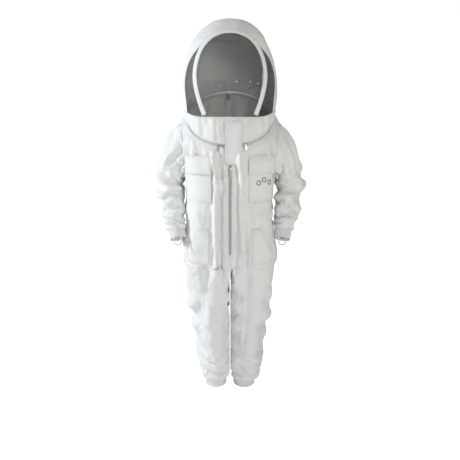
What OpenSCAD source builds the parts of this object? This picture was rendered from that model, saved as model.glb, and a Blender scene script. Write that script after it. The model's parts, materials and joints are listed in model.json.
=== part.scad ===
// Child's beekeeping suit with a zip-on fencing hood, standing as if worn.
// Millimetres, +Z up, the suit faces -Y, and +X is the wearer's left.
// The origin is on the floor plane of the leg hems, midway between the legs.

/* [Cloth] */
// Thickness of the cotton panels
cloth = 1.2; // [0.8:0.1:2]
// Thickness of the veil netting
netting = 0.6; // [0.4:0.1:1]
// Gap left between panels that are sewn edge to edge
seam_gap = 0.4; // [0.2:0.1:1]

/* [Body] */
// Distance from the centre plane to the flat chest
chest_y = 125; // [115:1:135]
// Height of the seam where the legs join the body
hip_z = 500; // [480:1:520]
// Width of the strip between the two front panels, which the main zip fills
zip_gap = 11; // [10.6:0.2:12]

/* [Neck zip] */
// Radius of the round neck zip
neck_r = 138; // [132:1:144]
// Height of the neck zip's centre
neck_z = 990; // [980:1:1000]
// Forward tilt of the neck zip's plane, in degrees
neck_tilt = 38; // [34:1:40]

/* [Hood] */
// Half width of the hood at its widest
hood_half_w = 153; // [145:1:160]
// Height where the hood is widest and starts to close over
hood_wide_z = 1085; // [1075:1:1095]
// Height of the crown above that level
hood_rise = 208; // [195:1:220]
// Half width of the veil window at its widest
window_half_w = 105; // [95:1:112]
// Radius of the wire in the two hoops
hoop_r = 1.5; // [1:0.25:2.5]

/* [Sleeves and legs] */
// Inner radius of the elastic wrist cuff
wrist_r = 26; // [24:0.5:30]
// Length of the elastic wrist cuff
wrist_len = 26; // [18:1:34]
// Inner radius of the elastic leg hem
ankle_r = 37.5; // [34:0.5:44]
// Height of the elastic leg hem
ankle_len = 22; // [16:1:28]

/* [Flaps and pockets] */
// Height of the storm flap's lower edge
flap_low_z = 846; // [840:1:860]
// Height of the storm flap's hinge line
flap_high_z = 978; // [970:1:982]
// Height of the fold line of the chest pocket flaps
pocket_fold_z = 872; // [864:1:880]
// Height of the free edge of the chest pocket flaps
pocket_flap_z = 814; // [806:1:822]
// Height of the bottom of the chest pockets
pocket_low_z = 724; // [716:1:732]

/* [Zip hardware] */
// Height of the main slider as it is parked below the storm flap
slider_z = 828; // [800:1:832]
// Radius of the cross pin that a pull tab swings on
pin_r = 0.7; // [0.6:0.05:0.9]
// Running clearance between a cross pin and its pull tab
pin_play = 0.05; // [0.03:0.01:0.08]

/* [Hidden] */

cotton = "white";
elastic_white = "whitesmoke";
net_black = "dimgray";
zip_white = "gainsboro";
metal = "silver";

// Body cross-sections: height, half width, depth to the back.
body_rows = [[480, 157, 112], [540, 161, 114], [600, 155, 111], [660, 150, 100],
    [720, 149, 94], [780, 151, 97], [840, 157, 104], [900, 164, 108], [950, 171, 106],
    [1000, 168, 102], [1070, 140, 98]];
body_power = 3;          // squareness of the body's cross-section
body_blend = 0.86;       // share of a panel's height where it starts to close on the neck
arm_low = 0.63;          // share of the side's height where the armhole starts
arm_high = 0.93;         // share of the side's height where the armhole ends
arm_half_angle = 32;     // half the armhole's opening, as an angle round the body

// Leg cross-sections: height, centre offset, half width, half depth.
leg_rows = [[ankle_len + 1, 54.5, 40, 40], [60, 57, 50, 54], [130, 61, 59, 64],
    [210, 67, 61, 70], [270, 71, 65, 76], [340, 77, 72, 88], [400, 79, 76, 97],
    [450, 80, 78, 106], [hip_z, 80, 78, 112]];
leg_blend_z = 400;       // below this the leg is a plain ellipse
ankle_x = 54;

// Sleeve sections, shoulder first: outer x and z, inner x and z, centre y, half depth, lean.
sleeve_rows = [[0, 160, 968, 166, 806, 0, 63, 0], [1, 183, 955, 170, 804, 0, 62, 0],
    [2, 207, 920, 169, 799, 0, 61, 0], [3, 230, 876, 167, 790, 4, 58, 0],
    [4, 246, 828, 165, 778, 10, 55, 2], [5, 251, 780, 165, 760, 12, 51, 6],
    [6, 247, 733, 164, 736, 3, 46, 14], [7, 234, 684, 160, 696, -22, 40, 22],
    [8, 219, 643, 157, 653, -47, 33, 26], [9, 207, 610, 153, 618, -66, 28, 28]];
wrist_at = [180, -66, 614];
wrist_dir = [-0.162, -0.46, -0.874];

// Neck zip: the tapes stand on a tilted circle whose back is higher than its front.
tape_h = 11;             // width of one main zip tape
neck_tape_h = 4.5;       // width of one neck zip tape, the rest being inside its seam
neck_out = 1.9;          // distance of the cloth's edges outside the neck zip's circle
tape_t = 0.6;            // thickness of one zip tape
edge_up = 6.5;           // distance from the zip's middle to the edge of the cloth
skirt_up = 6.8;          // the same for the hood's skirt
slot = 1;                // slot between the two rows of teeth, where the slider's web runs
teeth_w = 2.4;           // width of one row of teeth
teeth_t = 3.2;           // thickness of the teeth
tape_from = slot / 2 + teeth_w + 0.1;  // distance from the zip's middle to a tape
neck_y = -chest_y - edge_up * sin(neck_tilt) + neck_r * cos(neck_tilt);
left_slider_angle = 20;  // parking angle of the slider on the wearer's left
right_slider_angle = -14;

hood_front = 148;
hood_rear = 146;
hood_power = 2.5;
hood_close = 2.25;       // roundness of the crown
window_low = 992;
window_mid = 1110;
window_top = 1240;
side_tip_z = 1218;       // top of the side veils, where they meet the front arch
crown_z = 1242;          // lower edge of the crown panel
rear_arch_angle = 64;     // angle of the side veils' rear edge, 0 being straight ahead
rear_sweep = 3.2;         // how late that edge turns forward to the front arch
skirt_gap = 0.9;         // half the gap of the slanting seam between skirt and hood

plate_w = 10;            // slider plate width across the tape
plate_l = 12;            // slider plate length along the zip
plate_t = 0.9;
zip_mid_y = -chest_y + cloth + 0.8;  // middle plane of the main zip's tape
zip_low_z = 545;
zip_high_z = 888;
pin_off = 5.1;           // distance from the tape's middle to the slider's cross pin
main_pull_len = 22;
neck_pull_len = 15;
pull_lean = 6;           // lean of a neck pull away from straight down, in degrees

// What lies on the chest, as distances of inner faces from the body's surface.
pocket_lift = cloth + 0.9;
loop_lift = pocket_lift + cloth + 0.5;
hook_lift = loop_lift + 1.2;
patch_t = 0.8;
flap_lift = hook_lift + patch_t + 0.5;

// ---- Curves and surfaces ----

function smooth(t) = let (c = max(0, min(1, t))) c * c * (3 - 2 * c);
function spow(b, e) = sign(b) * pow(abs(b), e);
function mix(a, b, t) = a + (b - a) * t;

function row_of(rows, x, i = 0) = i >= len(rows) - 2 || x <= rows[i + 1][0] ? i : row_of(rows, x, i + 1);
function slope(rows, i, k) = let (a = max(i - 1, 0), b = min(i + 1, len(rows) - 1))
    (rows[b][k] - rows[a][k]) / (rows[b][0] - rows[a][0]);

// Column k of a table at x, along a smooth curve through its rows.
function curve(rows, x, k) =
    let (i = row_of(rows, x), h = rows[i + 1][0] - rows[i][0])
    let (t = max(0, min(1, (x - rows[i][0]) / h)))
    let (m0 = slope(rows, i, k) * h, m1 = slope(rows, i + 1, k) * h)
    (2 * t ^ 3 - 3 * t ^ 2 + 1) * rows[i][k] + (t ^ 3 - 2 * t ^ 2 + t) * m0
    + (3 * t ^ 2 - 2 * t ^ 3) * rows[i + 1][k] + (t ^ 3 - t ^ 2) * m1;

// A point of the horizontal section of the body at angle a from the front and height z.
function body_ring(a, z) =
    let (e = 2 / body_power, back = curve(body_rows, z, 2))
    [curve(body_rows, z, 1) * spow(sin(a), e), (cos(a) > 0 ? -chest_y : -back) * spow(cos(a), e), z];

// The neck zip's circle, at angle a from its front, distance out from it and height up its axis.
function neck_point(a, out = 0, up = 0) =
    let (r = neck_r + out)
    [r * sin(a),
     neck_y - r * cos(a) * cos(neck_tilt) - up * sin(neck_tilt),
     neck_z - r * cos(a) * sin(neck_tilt) + up * cos(neck_tilt)];

// The body's surface, a = angle from the front, v = 0 at the hip seam and 1 at the neck.
function body_surface(a, v) =
    let (n = neck_point(a, neck_out, -edge_up), z = mix(hip_z, n[2], v))
    mix(body_ring(a, z), n, smooth((v - body_blend) / (1 - body_blend)));

// The body's front at a distance x from the middle, below the level where it closes on the neck.
function chest_at(x, z) =
    let (w = curve(body_rows, z, 1))
    [x, -chest_y * pow(max(0, 1 - pow(min(1, abs(x) / w), body_power)), 1 / body_power), z];

// Half the armhole's opening angle at share v of the side's height.
function arm_angle(v) =
    let (t = (v - (arm_low + arm_high) / 2) / ((arm_high - arm_low) / 2))
    abs(t) >= 1 ? 0 : arm_half_angle * sqrt(1 - t * t);

// Distance of the front panel's centre edge from the middle: half the zip's gap, and a seam below the zip.
function half_gap(z) = mix(seam_gap, zip_gap / 2, smooth((z - zip_low_z + 20) / 14));

// Angle at which the front panel starts, found by halving the span from low to high.
function gap_angle(v, low = 0, high = 4, turns = 14) =
    let (middle = (low + high) / 2, p = body_surface(middle, v))
    turns == 0 ? middle
    : p[0] < half_gap(p[2]) ? gap_angle(v, middle, high, turns - 1)
    : gap_angle(v, low, middle, turns - 1);

function leg_angle(a) = a < 180 ? -38 + a * 256 / 180 : 218 + (a - 180) * 104 / 180;

// The left leg's surface, a = angle from the front centre, v = 0 at the hem and 1 at the hip seam.
function leg_surface(a0, v) =
    let (a = (a0 + 720) % 360, z = mix(ankle_len + 1, hip_z - 1.5, v), q = leg_angle(a))
    let (ellipse = [curve(leg_rows, z, 1) + curve(leg_rows, z, 2) * sin(q),
        -curve(leg_rows, z, 3) * cos(q), z])
    let (crotch = [2, a < 180 ? 0 : mix(curve(body_rows, hip_z, 2), -chest_y, (a - 180) / 180), z])
    let (outer = body_ring(a, z))
    let (halfbody = a < 180 ? [max(2, outer[0]), outer[1], z] : crotch)
    mix(ellipse, halfbody, smooth((z - leg_blend_z) / (hip_z - leg_blend_z)));

// The edge of the left armhole, seen from its inside, a = 0 in front and 90 at the shoulder.
function arm_ring(a) =
    body_surface(90 - 0.94 * arm_half_angle * cos(a),
        (arm_low + arm_high) / 2 + 0.95 * (arm_high - arm_low) / 2 * sin(a)) + [1, 0, 0];

// The left sleeve's surface, a = angle from the front, v = 0 at the cuff and 1 at the armhole.
function sleeve_surface(a, v) =
    let (s = 9 * (1 - v), lean = curve(sleeve_rows, s, 7), depth = curve(sleeve_rows, s, 6))
    let (outer = [curve(sleeve_rows, s, 1), curve(sleeve_rows, s, 5), curve(sleeve_rows, s, 2)])
    let (inner = [curve(sleeve_rows, s, 3), curve(sleeve_rows, s, 5), curve(sleeve_rows, s, 4)])
    let (tube = (outer + inner) / 2 + (outer - inner) / 2 * sin(a)
        - depth * cos(a) * [0, cos(lean), -sin(lean)])
    mix(arm_ring(a), tube, smooth(s / 1.4));

// Share of the hood's full width at height z.
function hood_share(z) = z <= hood_wide_z ? 1
    : pow(max(0, 1 - ((z - hood_wide_z) / hood_rise) ^ 2), 1 / hood_close);
function hood_w(z) = hood_half_w * hood_share(z) - 5 * smooth((hood_wide_z - z) / 75);
function hood_y(z, rear) = rear ? hood_rear * hood_share(z) - 27 * smooth((1150 - z) / 60)
    : hood_front * hood_share(z) - 20 * smooth((hood_wide_z - z) / 90);
function hood_ring(a, z) =
    [hood_w(z) * spow(sin(a), 2 / hood_power),
     (cos(a) > 0 ? -hood_y(z, false) : -hood_y(z, true)) * spow(cos(a), 2 / hood_power), z];

// The hood's front at a distance x from the middle.
function hood_at(x, z) =
    [x, -hood_y(z, false) * pow(max(0, 1 - pow(abs(x) / hood_w(z), hood_power)), 1 / hood_power), z];

// Half width of the front arch at height z, and the angle round the hood where it lies.
function arch_half(z) = z > window_mid
    ? window_half_w * pow(max(0, 1 - ((z - window_mid) / (window_top - window_mid)) ^ 2), 1 / 2.3)
    : window_half_w - 30 * pow((window_mid - z) / (window_mid - window_low), 1.6);
function arch_angle(z) = asin(pow(arch_half(z) / hood_w(z), hood_power / 2));

// Angle of the rear arch at height z: upright, then sweeping forward to meet the front arch.
function rear_angle(z) = rear_arch_angle
    - (rear_arch_angle - arch_angle(side_tip_z)) * pow(max(0, (z - 1060) / (side_tip_z - 1060)), rear_sweep);

// Height of the seam between the skirt and the hood, low in front and high at the back.
function skirt_z(a) = let (f = abs(a) > 180 ? 360 - abs(a) : abs(a))
    window_low + 22 * smooth((f - 30) / 60) + 98 * smooth((f - 78) / 80);

// The outward direction of the hood's front half at a point of it.
function hood_normal(p) =
    let (t = max(0, (p[2] - hood_wide_z) / hood_rise), e = hood_power - 1)
    unit([spow(p[0] / hood_half_w, e) / hood_half_w, spow(p[1] / hood_front, e) / hood_front,
        pow(hood_share(p[2]), e) * 2 / hood_close * t
            * pow(max(0.01, 1 - t * t), 1 / hood_close - 1) / hood_rise]);

// The front arch as one curve, t = 0 at the right foot and 1 at the left foot.
function arch_point(t) = t < 0.25 ? foot_point(-1, t / 0.25)
    : t > 0.75 ? foot_point(1, (1 - t) / 0.25) : bow_point(180 * (1 - (t - 0.25) / 0.5));
function foot_point(side, s) = let (z = mix(window_low + 6, window_mid, s)) hood_at(side * arch_half(z), z);
function bow_point(q) = hood_at(window_half_w * spow(cos(q), 2 / 2.3),
    window_mid + (window_top - window_mid) * spow(sin(q), 1));

// ---- Builders ----

function unit(v) = v / norm(v);
function normal_at(f, u, v) =
    let (e = 0.004, u0 = max(u - e, 0), u1 = min(u + e, 1), v0 = max(v - e, 0), v1 = min(v + e, 1))
    unit(cross(f(u1, v) - f(u0, v), f(u, v1) - f(u, v0)));

// A cloth sheet over the surface f(u, v), its inner face lifted off the surface by lift.
// A ring sheet closes on itself round u.
module sheet(f, nu, nv, thick = cloth, lift = 0, ring = false) {
    cols = ring ? nu : nu + 1;
    grid = [for (j = [0 : nv]) for (i = [0 : cols - 1]) [i / nu, j / nv]];
    base = [for (g = grid) f(g[0], g[1])];
    out = [for (g = grid) normal_at(f, g[0], g[1])];
    n = len(grid);
    points = concat([for (k = [0 : n - 1]) base[k] + out[k] * (lift + thick)],
        [for (k = [0 : n - 1]) base[k] + out[k] * lift]);
    cells = [for (j = [0 : nv - 1]) for (i = [0 : nu - 1])
        let (k = (i + 1) % cols)
        [j * cols + i, j * cols + k, (j + 1) * cols + k, (j + 1) * cols + i]];
    skins = [for (c = cells) each [[c[0], c[3], c[2]], [c[0], c[2], c[1]],
        [c[0] + n, c[1] + n, c[2] + n], [c[0] + n, c[2] + n, c[3] + n]]];
    ends = [for (i = [0 : nu - 1]) let (a = i, b = (i + 1) % cols, c = nv * cols)
        each [[a, b, b + n], [a, b + n, a + n], [a + c, a + c + n, b + c + n], [a + c, b + c + n, b + c]]];
    sides = ring ? [] : [for (j = [0 : nv - 1]) let (a = j * cols, d = a + cols)
        each [[a, a + n, d + n], [a, d + n, d],
            [a + nu, d + nu, d + nu + n], [a + nu, d + nu + n, a + nu + n]]];
    polyhedron(points, concat(skins, ends, sides), convexity = 10);
}

// A round wire through a list of points.
module wire(path, r, sides = 8) {
    last = len(path) - 1;
    tangents = [for (i = [0 : last]) unit(path[min(i + 1, last)] - path[max(i - 1, 0)])];
    points = [for (i = [0 : last])
        let (side = unit(cross(tangents[i], [0.05, 1, 0.02])), up = cross(side, tangents[i]))
        for (k = [0 : sides - 1]) path[i] + r * (cos(360 * k / sides) * side + sin(360 * k / sides) * up)];
    walls = [for (i = [0 : last - 1]) for (k = [0 : sides - 1])
        let (a = i * sides + k, b = i * sides + (k + 1) % sides)
        each [[a, b, b + sides], [a, b + sides, a + sides]]];
    polyhedron(points, concat(walls, [[for (k = [sides - 1 : -1 : 0]) k]],
        [[for (k = [0 : sides - 1]) last * sides + k]]), convexity = 10);
}

// Puts its child where +Z points along dir and the origin is at p.
module aim(p, dir) {
    translate(p)
        rotate([0, acos(dir[2] / norm(dir)), atan2(dir[1], dir[0])])
            children();
}

// Turns its child from a main zip's frame into the neck zip's frame at angle a.
// There -Y points out of the zip, +Z runs along it and +X runs up its axis.
module on_neck(a) {
    translate([0, neck_y, neck_z])
        rotate([neck_tilt, 0, 0])
            rotate([0, 0, a])
                translate([0, -neck_r, 0])
                    rotate([0, 90, 0])
                        mirror([1, 0, 0])
                            children();
}

// ---- Body ----

module front_panel() {
    color(cotton)
        sheet(function(u, v) body_surface(mix(gap_angle(v), 90 - 0.1 - arm_angle(v), u), v), 12, 26);
}

module back_panel() {
    color(cotton)
        sheet(function(u, v)
            let (half = 90 - 0.1 - arm_angle(v))
            body_surface(180 + half * (2 * u - 1), v), 20, 26);
}

module back_waist_elastic() {
    color(elastic_white)
        sheet(function(u, v) body_ring(180 + 62 * (2 * u - 1), mix(662, 694, v)), 16, 2,
            thick = 1.4, lift = -1.6 - 1.4);
}

module chest_pocket() {
    color(cotton)
        sheet(function(u, v) chest_at(mix(60, 138, u), mix(pocket_low_z, pocket_fold_z - 14, v)),
            10, 6, lift = pocket_lift);
}

module hip_pocket() {
    top = function(x) 632 - 74 * smooth((x - 98) / 44);
    color(cotton)
        sheet(function(u, v) let (x = mix(71, 142, u)) chest_at(x, mix(512, top(x), v)),
            9, 6, lift = pocket_lift);
}

module bar_tack(x, z) {
    aim(chest_at(x, z) + [0, -pocket_lift - cloth - 0.4, 0], [0, -1, 0])
        translate([0, 0, 0.5])
            cube([2, 9, 0.8], center = true);
}

module hip_pocket_bar_tacks() {
    color(elastic_white)
        for (side = [-1, 1])
            for (z = [520, 624])
                bar_tack(side * 74, z);
}

module loop_patches() {
    color(elastic_white) {
        for (side = [0, 1])
            mirror([side, 0, 0])
                sheet(function(u, v) chest_at(mix(85, 122, u), mix(820, 832, v)),
                    5, 1, thick = patch_t, lift = loop_lift);
        translate([10, -chest_y - 2.4 - cloth, flap_low_z + 5])
            cube([24, 1.8, 18]);
    }
}

module hanger_loop() {
    color(cotton)
        aim(neck_point(180, -19, -4) - [4, 0, 0], [1, 0, 0])
            difference() {
                union() {
                    cylinder(r = 9, h = 8, $fn = 48);
                    translate([-4, 8, 0])
                        cube([1.2, 8, 8]);
                }
                translate([0, 0, -1])
                    cylinder(r = 8, h = 10, $fn = 48);
            }
}

module embroidered_badge() {
    color("seagreen")
        for (i = [-1 : 1])
            let (x = 108 + 17 * i, z = 786 + (i == 0 ? 10 : 0), p = chest_at(x, z))
            let (out = unit(cross(chest_at(x + 1, z) - chest_at(x - 1, z), [0, 0, 1])))
            aim(p + out * (pocket_lift + cloth + 0.5), out)
                difference() {
                    cylinder(r = 9, h = 0.6, $fn = 6);
                    translate([0, 0, -1])
                        cylinder(r = 6.6, h = 3, $fn = 6);
                }
}

// ---- Zips ----

// One row of main zip teeth on the +X side, on a core strip.
module main_teeth() {
    pitch = 6;
    color(zip_white)
        translate([slot / 2, zip_mid_y, 0])
            union() {
                translate([0.6, -1, zip_low_z])
                    cube([teeth_w - 0.6, 2, zip_high_z - zip_low_z]);
                for (z = [zip_low_z + 1 : pitch : zip_high_z - 3])
                    translate([0, -teeth_t / 2, z])
                        cube([teeth_w - 0.4, teeth_t, 2.6]);
            }
}

module main_tape() {
    color(zip_white)
        translate([tape_from, zip_mid_y - tape_t / 2, zip_low_z])
            cube([tape_h, tape_t, zip_high_z - zip_low_z]);
}

module main_zip_stops() {
    color(metal) {
        translate([-3, zip_mid_y - 2, zip_low_z - 6])
            cube([6, 4, 4]);
        for (side = [-1, 1])
            translate([side * 2 - 1.2, zip_mid_y - 1.6, zip_high_z + 1])
                cube([2.4, 3.2, 2.4]);
    }
}

// Places a shape that is turned round the neck zip's axis.
module neck_turned() {
    translate([0, neck_y, neck_z])
        rotate([neck_tilt, 0, 0])
            children();
}

module neck_tape(up) {
    color(zip_white)
        neck_turned()
            rotate_extrude($fn = 96)
                translate([neck_r - tape_t / 2, up ? tape_from : -tape_from - neck_tape_h])
                    square([tape_t, neck_tape_h]);
}

module neck_teeth(up) {
    color(zip_white)
        neck_turned()
            rotate_extrude($fn = 96)
                translate([neck_r - teeth_t / 2, up ? slot / 2 : -slot / 2 - teeth_w])
                    square([teeth_t, teeth_w]);
}

// A zip slider whose tape's middle is at the origin, open along Z, with its cross pin outside.
// turn = 90 puts the cross pin along the zip and not across it.
module slider(turn = 0) {
    gap = teeth_t / 2 + 0.3;
    color(metal) {
        for (side = [-1, 1])
            translate([-plate_w / 2, side * (gap + plate_t / 2) - plate_t / 2, -plate_l / 2])
                cube([plate_w, plate_t, plate_l]);
        translate([-0.35, -gap - 0.1, plate_l / 2 - 5])
            cube([0.7, 2 * gap + 0.2, 5]);
        rotate([0, turn, 0]) {
            for (side = [-1, 1])
                translate([side * 2.4 - 0.5, -pin_off - 1.2, -1.5])
                    cube([1, pin_off + 1.2 - gap - plate_t / 2, 3]);
            translate([-2.4, -pin_off, 0])
                rotate([0, 90, 0])
                    cylinder(r = pin_r, h = 4.8, $fn = 32);
        }
    }
}

// A pull tab that swings on the cross pin, hanging down along -Z.
module pull(len) {
    color(metal)
        translate([0, -pin_off, 0])
            difference() {
                union() {
                    translate([-1.6, 0, 0])
                        rotate([0, 90, 0])
                            cylinder(r = 1.55, h = 3.2, $fn = 32);
                    translate([-1.6, -0.5, -6])
                        cube([3.2, 1, 6]);
                    translate([-3, -0.5, -len])
                        cube([6, 1, len - 5]);
                }
                translate([-5, 0, 0])
                    rotate([0, 90, 0])
                        cylinder(r = pin_r + pin_play, h = 10, $fn = 32);
                translate([0, 0, -len + 3])
                    rotate([90, 0, 0])
                        cylinder(r = 1.4, h = 6, center = true, $fn = 32);
            }
}

module main_slider_place() {
    translate([0, zip_mid_y, slider_z])
        children();
}

module neck_slider(a) {
    on_neck(a)
        slider(turn = 90);
}

// The neck pulls hang down and lean out from the zip's own plane, to clear the shoulders.
module neck_pull(a) {
    on_neck(a)
        rotate([0, 90, 0])
            translate([0, -pin_off, 0])
                rotate([-neck_tilt - pull_lean, 0, 0])
                    translate([0, pin_off, 0])
                        pull(neck_pull_len);
}

// ---- Hood ----

module hood_skirt() {
    color(cotton)
        sheet(function(u, v)
            let (a = 360 * u - 180)
            let (low = neck_point(a, neck_out, skirt_up), high = hood_ring(a, skirt_z(a) - skirt_gap))
            let (bulge = 3.5 * sin(180 * v) * unit([sin(a), -cos(a), 0]))
            mix(low, high, v) + bulge, 44, 4, ring = true);
}

module hood_back() {
    color(cotton)
        sheet(function(u, v)
            let (guess = mix(rear_arch_angle, 360 - rear_arch_angle, u))
            let (z = mix(skirt_z(guess) + skirt_gap, crown_z - seam_gap, v))
            let (start = z < side_tip_z ? rear_angle(z) : arch_angle(z))
            hood_ring(mix(start + 0.4, 360 - 0.4 - start, u), z), 26, 14);
}

module hood_crown() {
    top = hood_share(crown_z);
    color(cotton)
        sheet(function(u, v)
            let (p = 2 * u - 1, q = 2 * v - 1)
            let (x = p * sqrt(1 - q * q / 2), y = q * sqrt(1 - p * p / 2))
            let (s = top * min(1, norm([x, y])), a = norm([x, y]) < 1e-6 ? 0 : atan2(x, -y))
            let (z = hood_wide_z + hood_rise * sqrt(max(0, 1 - pow(s, hood_close))))
            [hood_half_w * s * spow(sin(a), 2 / hood_power),
             (cos(a) > 0 ? -hood_front : -hood_rear) * s * spow(cos(a), 2 / hood_power), z], 16, 16);
}

module front_veil() {
    color(net_black)
        sheet(function(u, v)
            let (z = mix(window_low + 3, window_top - 6, v))
            hood_at(mix(-1, 1, u) * (arch_half(z) - 2.5), z), 14, 14, thick = netting);
}

module side_veil() {
    color(net_black)
        sheet(function(u, v)
            let (guess = mix(arch_angle(window_low), rear_arch_angle, u))
            let (z = mix(skirt_z(guess) + 3, side_tip_z - 6, v))
            hood_ring(mix(arch_angle(z) + 1.2, rear_angle(z) - 0.8, u), z), 6, 12, thick = netting);
}

module front_arch_binding() {
    half = 8;
    color(cotton)
        sheet(function(u, v)
            let (p = arch_point(u), along = unit(arch_point(min(1, u + 0.01)) - arch_point(max(0, u - 0.01))))
            let (across = unit(cross(along, hood_normal(p))))
            p - across * half * (2 * v - 1), 44, 2, lift = 3.2);
}

module rear_binding() {
    color(cotton)
        sheet(function(u, v)
            let (z = mix(skirt_z(rear_arch_angle) + 2, side_tip_z - 8, v))
            hood_ring(rear_angle(z) + 3.2 * (u - 0.5), z), 2, 16, lift = cloth + 0.8);
}

module front_hoop() {
    color("lightgray")
        wire([for (i = [0 : 40])
            let (p = arch_point(i / 40))
            p - 6 * hood_normal(p)], hoop_r);
}

module rear_hoop() {
    inset = 5;
    foot_z = 1022;
    rise = hood_rise - inset;
    color("lightgray")
        wire(concat(
            [for (i = [0 : 3]) let (z = mix(foot_z, hood_wide_z, i / 4)) [-hood_w(z) + inset, 0, z]],
            [for (i = [0 : 32]) let (q = 180 - 180 * i / 32)
                [(hood_half_w - inset) * spow(cos(q), 2 / hood_close), 0, hood_wide_z + rise * sin(q)]],
            [for (i = [3 : -1 : 0]) let (z = mix(foot_z, hood_wide_z, i / 4)) [hood_w(z) - inset, 0, z]]),
            hoop_r);
}

// ---- Flaps ----

// Depth of the storm flap's inner face at height z: close over the zip, proud over the neck seam.
function storm_y(z) = -131 - 6.4 * smooth((z - 884) / 22);

module storm_flap() {
    color(cotton)
        sheet(function(u, v) let (z = mix(flap_low_z, flap_high_z, v)) [mix(-17, 38, u), storm_y(z), z],
            3, 12);
}

module storm_flap_hook_patch() {
    color(elastic_white)
        translate([10, -130.8, flap_low_z + 5])
            cube([24, 1.8, 18]);
}

module chest_flap() {
    color(cotton)
        sheet(function(u, v) chest_at(mix(58, 140, u), mix(pocket_flap_z, pocket_fold_z, v)),
            10, 4, lift = flap_lift);
}

module chest_flap_hook_patch() {
    color(elastic_white)
        sheet(function(u, v) chest_at(mix(85, 122, u), mix(820, 832, v)),
            5, 1, thick = patch_t, lift = hook_lift);
}

// ---- Sleeves and legs, wearer's left ----

module sleeve() {
    color(cotton)
        sheet(function(u, v) sleeve_surface(360 * u, v), 22, 18, ring = true);
}

module cuff() {
    color(elastic_white)
        aim(wrist_at, wrist_dir)
            translate([0, 0, 2])
                difference() {
                    cylinder(r = wrist_r + 2, h = wrist_len, $fn = 64);
                    translate([0, 0, -1])
                        cylinder(r = wrist_r, h = wrist_len + 2, $fn = 64);
                }
}

// A flat elastic loop for the thumb, hanging from the rim of the cuff on its forward side.
module thumb_loop() {
    color(elastic_white)
        aim(wrist_at, wrist_dir)
            rotate([0, 0, 163])
                translate([wrist_r + 0.2, 0, wrist_len + 2.3])
                    rotate([0, 90, 0])
                        difference() {
                            union() {
                                translate([-14, -14, 0])
                                    cube([14, 28, 1.4]);
                                translate([-14, 0, 0])
                                    cylinder(r = 14, h = 1.4, $fn = 48);
                            }
                            translate([-14, -9, -1])
                                cube([20, 18, 4]);
                            translate([-14, 0, -1])
                                cylinder(r = 9, h = 4, $fn = 48);
                        }
}

module leg_front() {
    color(cotton)
        sheet(function(u, v) leg_surface(mix(-89.8, 89.8, u), v), 14, 16);
}

module leg_back() {
    color(cotton)
        sheet(function(u, v) leg_surface(mix(90.2, 269.8, u), v), 14, 16);
}

module hem_elastic() {
    color(elastic_white)
        translate([ankle_x, 0, 0])
            difference() {
                cylinder(r = ankle_r + 2, h = ankle_len, $fn = 64);
                translate([0, 0, -1])
                    cylinder(r = ankle_r, h = ankle_len + 2, $fn = 64);
            }
}

module other_side() {
    mirror([1, 0, 0])
        children();
}

// ---- Parts ----

front_panel();  // front_panel_left
other_side() front_panel();  // front_panel_right
back_panel();
back_waist_elastic();
main_tape();  // main_zip_tape_left
other_side() main_tape();  // main_zip_tape_right
main_teeth();  // main_zip_teeth_left
other_side() main_teeth();  // main_zip_teeth_right
main_zip_stops();
neck_tape(false);  // neck_zip_tape
neck_teeth(false);  // neck_zip_teeth
chest_pocket();  // chest_pocket_left
other_side() chest_pocket();  // chest_pocket_right
hip_pocket();  // hip_pocket_left
other_side() hip_pocket();  // hip_pocket_right
hip_pocket_bar_tacks();
loop_patches();
hanger_loop();
embroidered_badge();
hood_skirt();
hood_back();
hood_crown();
front_veil();
side_veil();  // side_veil_left
other_side() side_veil();  // side_veil_right
front_arch_binding();
rear_binding();  // rear_binding_left
other_side() rear_binding();  // rear_binding_right
front_hoop();
rear_hoop();
neck_tape(true);  // hood_zip_tape
neck_teeth(true);  // hood_zip_teeth
storm_flap();
storm_flap_hook_patch();
chest_flap();  // chest_flap_left
chest_flap_hook_patch();  // chest_flap_left_hook_patch
other_side() chest_flap();  // chest_flap_right
other_side() chest_flap_hook_patch();  // chest_flap_right_hook_patch
main_slider_place() slider();  // main_zip_slider
main_slider_place() pull(main_pull_len);  // main_zip_pull
neck_slider(left_slider_angle);  // neck_zip_slider_left
neck_pull(left_slider_angle);  // neck_zip_pull_left
neck_slider(right_slider_angle);  // neck_zip_slider_right
neck_pull(right_slider_angle);  // neck_zip_pull_right
sleeve();  // sleeve_left
cuff();  // cuff_left
thumb_loop();  // thumb_loop_left
other_side() sleeve();  // sleeve_right
other_side() cuff();  // cuff_right
other_side() thumb_loop();  // thumb_loop_right
leg_front();  // leg_front_left
leg_back();  // leg_back_left
hem_elastic();  // hem_elastic_left
other_side() leg_front();  // leg_front_right
other_side() leg_back();  // leg_back_right
other_side() hem_elastic();  // hem_elastic_right
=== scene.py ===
"""The looks of a child's beekeeping suit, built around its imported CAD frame. Metres, +Z up, facing -Y."""

import json
import math

import bmesh
import bpy
import numpy as np
from mathutils import Matrix, Vector, noise
from mathutils.bvhtree import BVHTree
from mathutils.kdtree import KDTree

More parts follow.
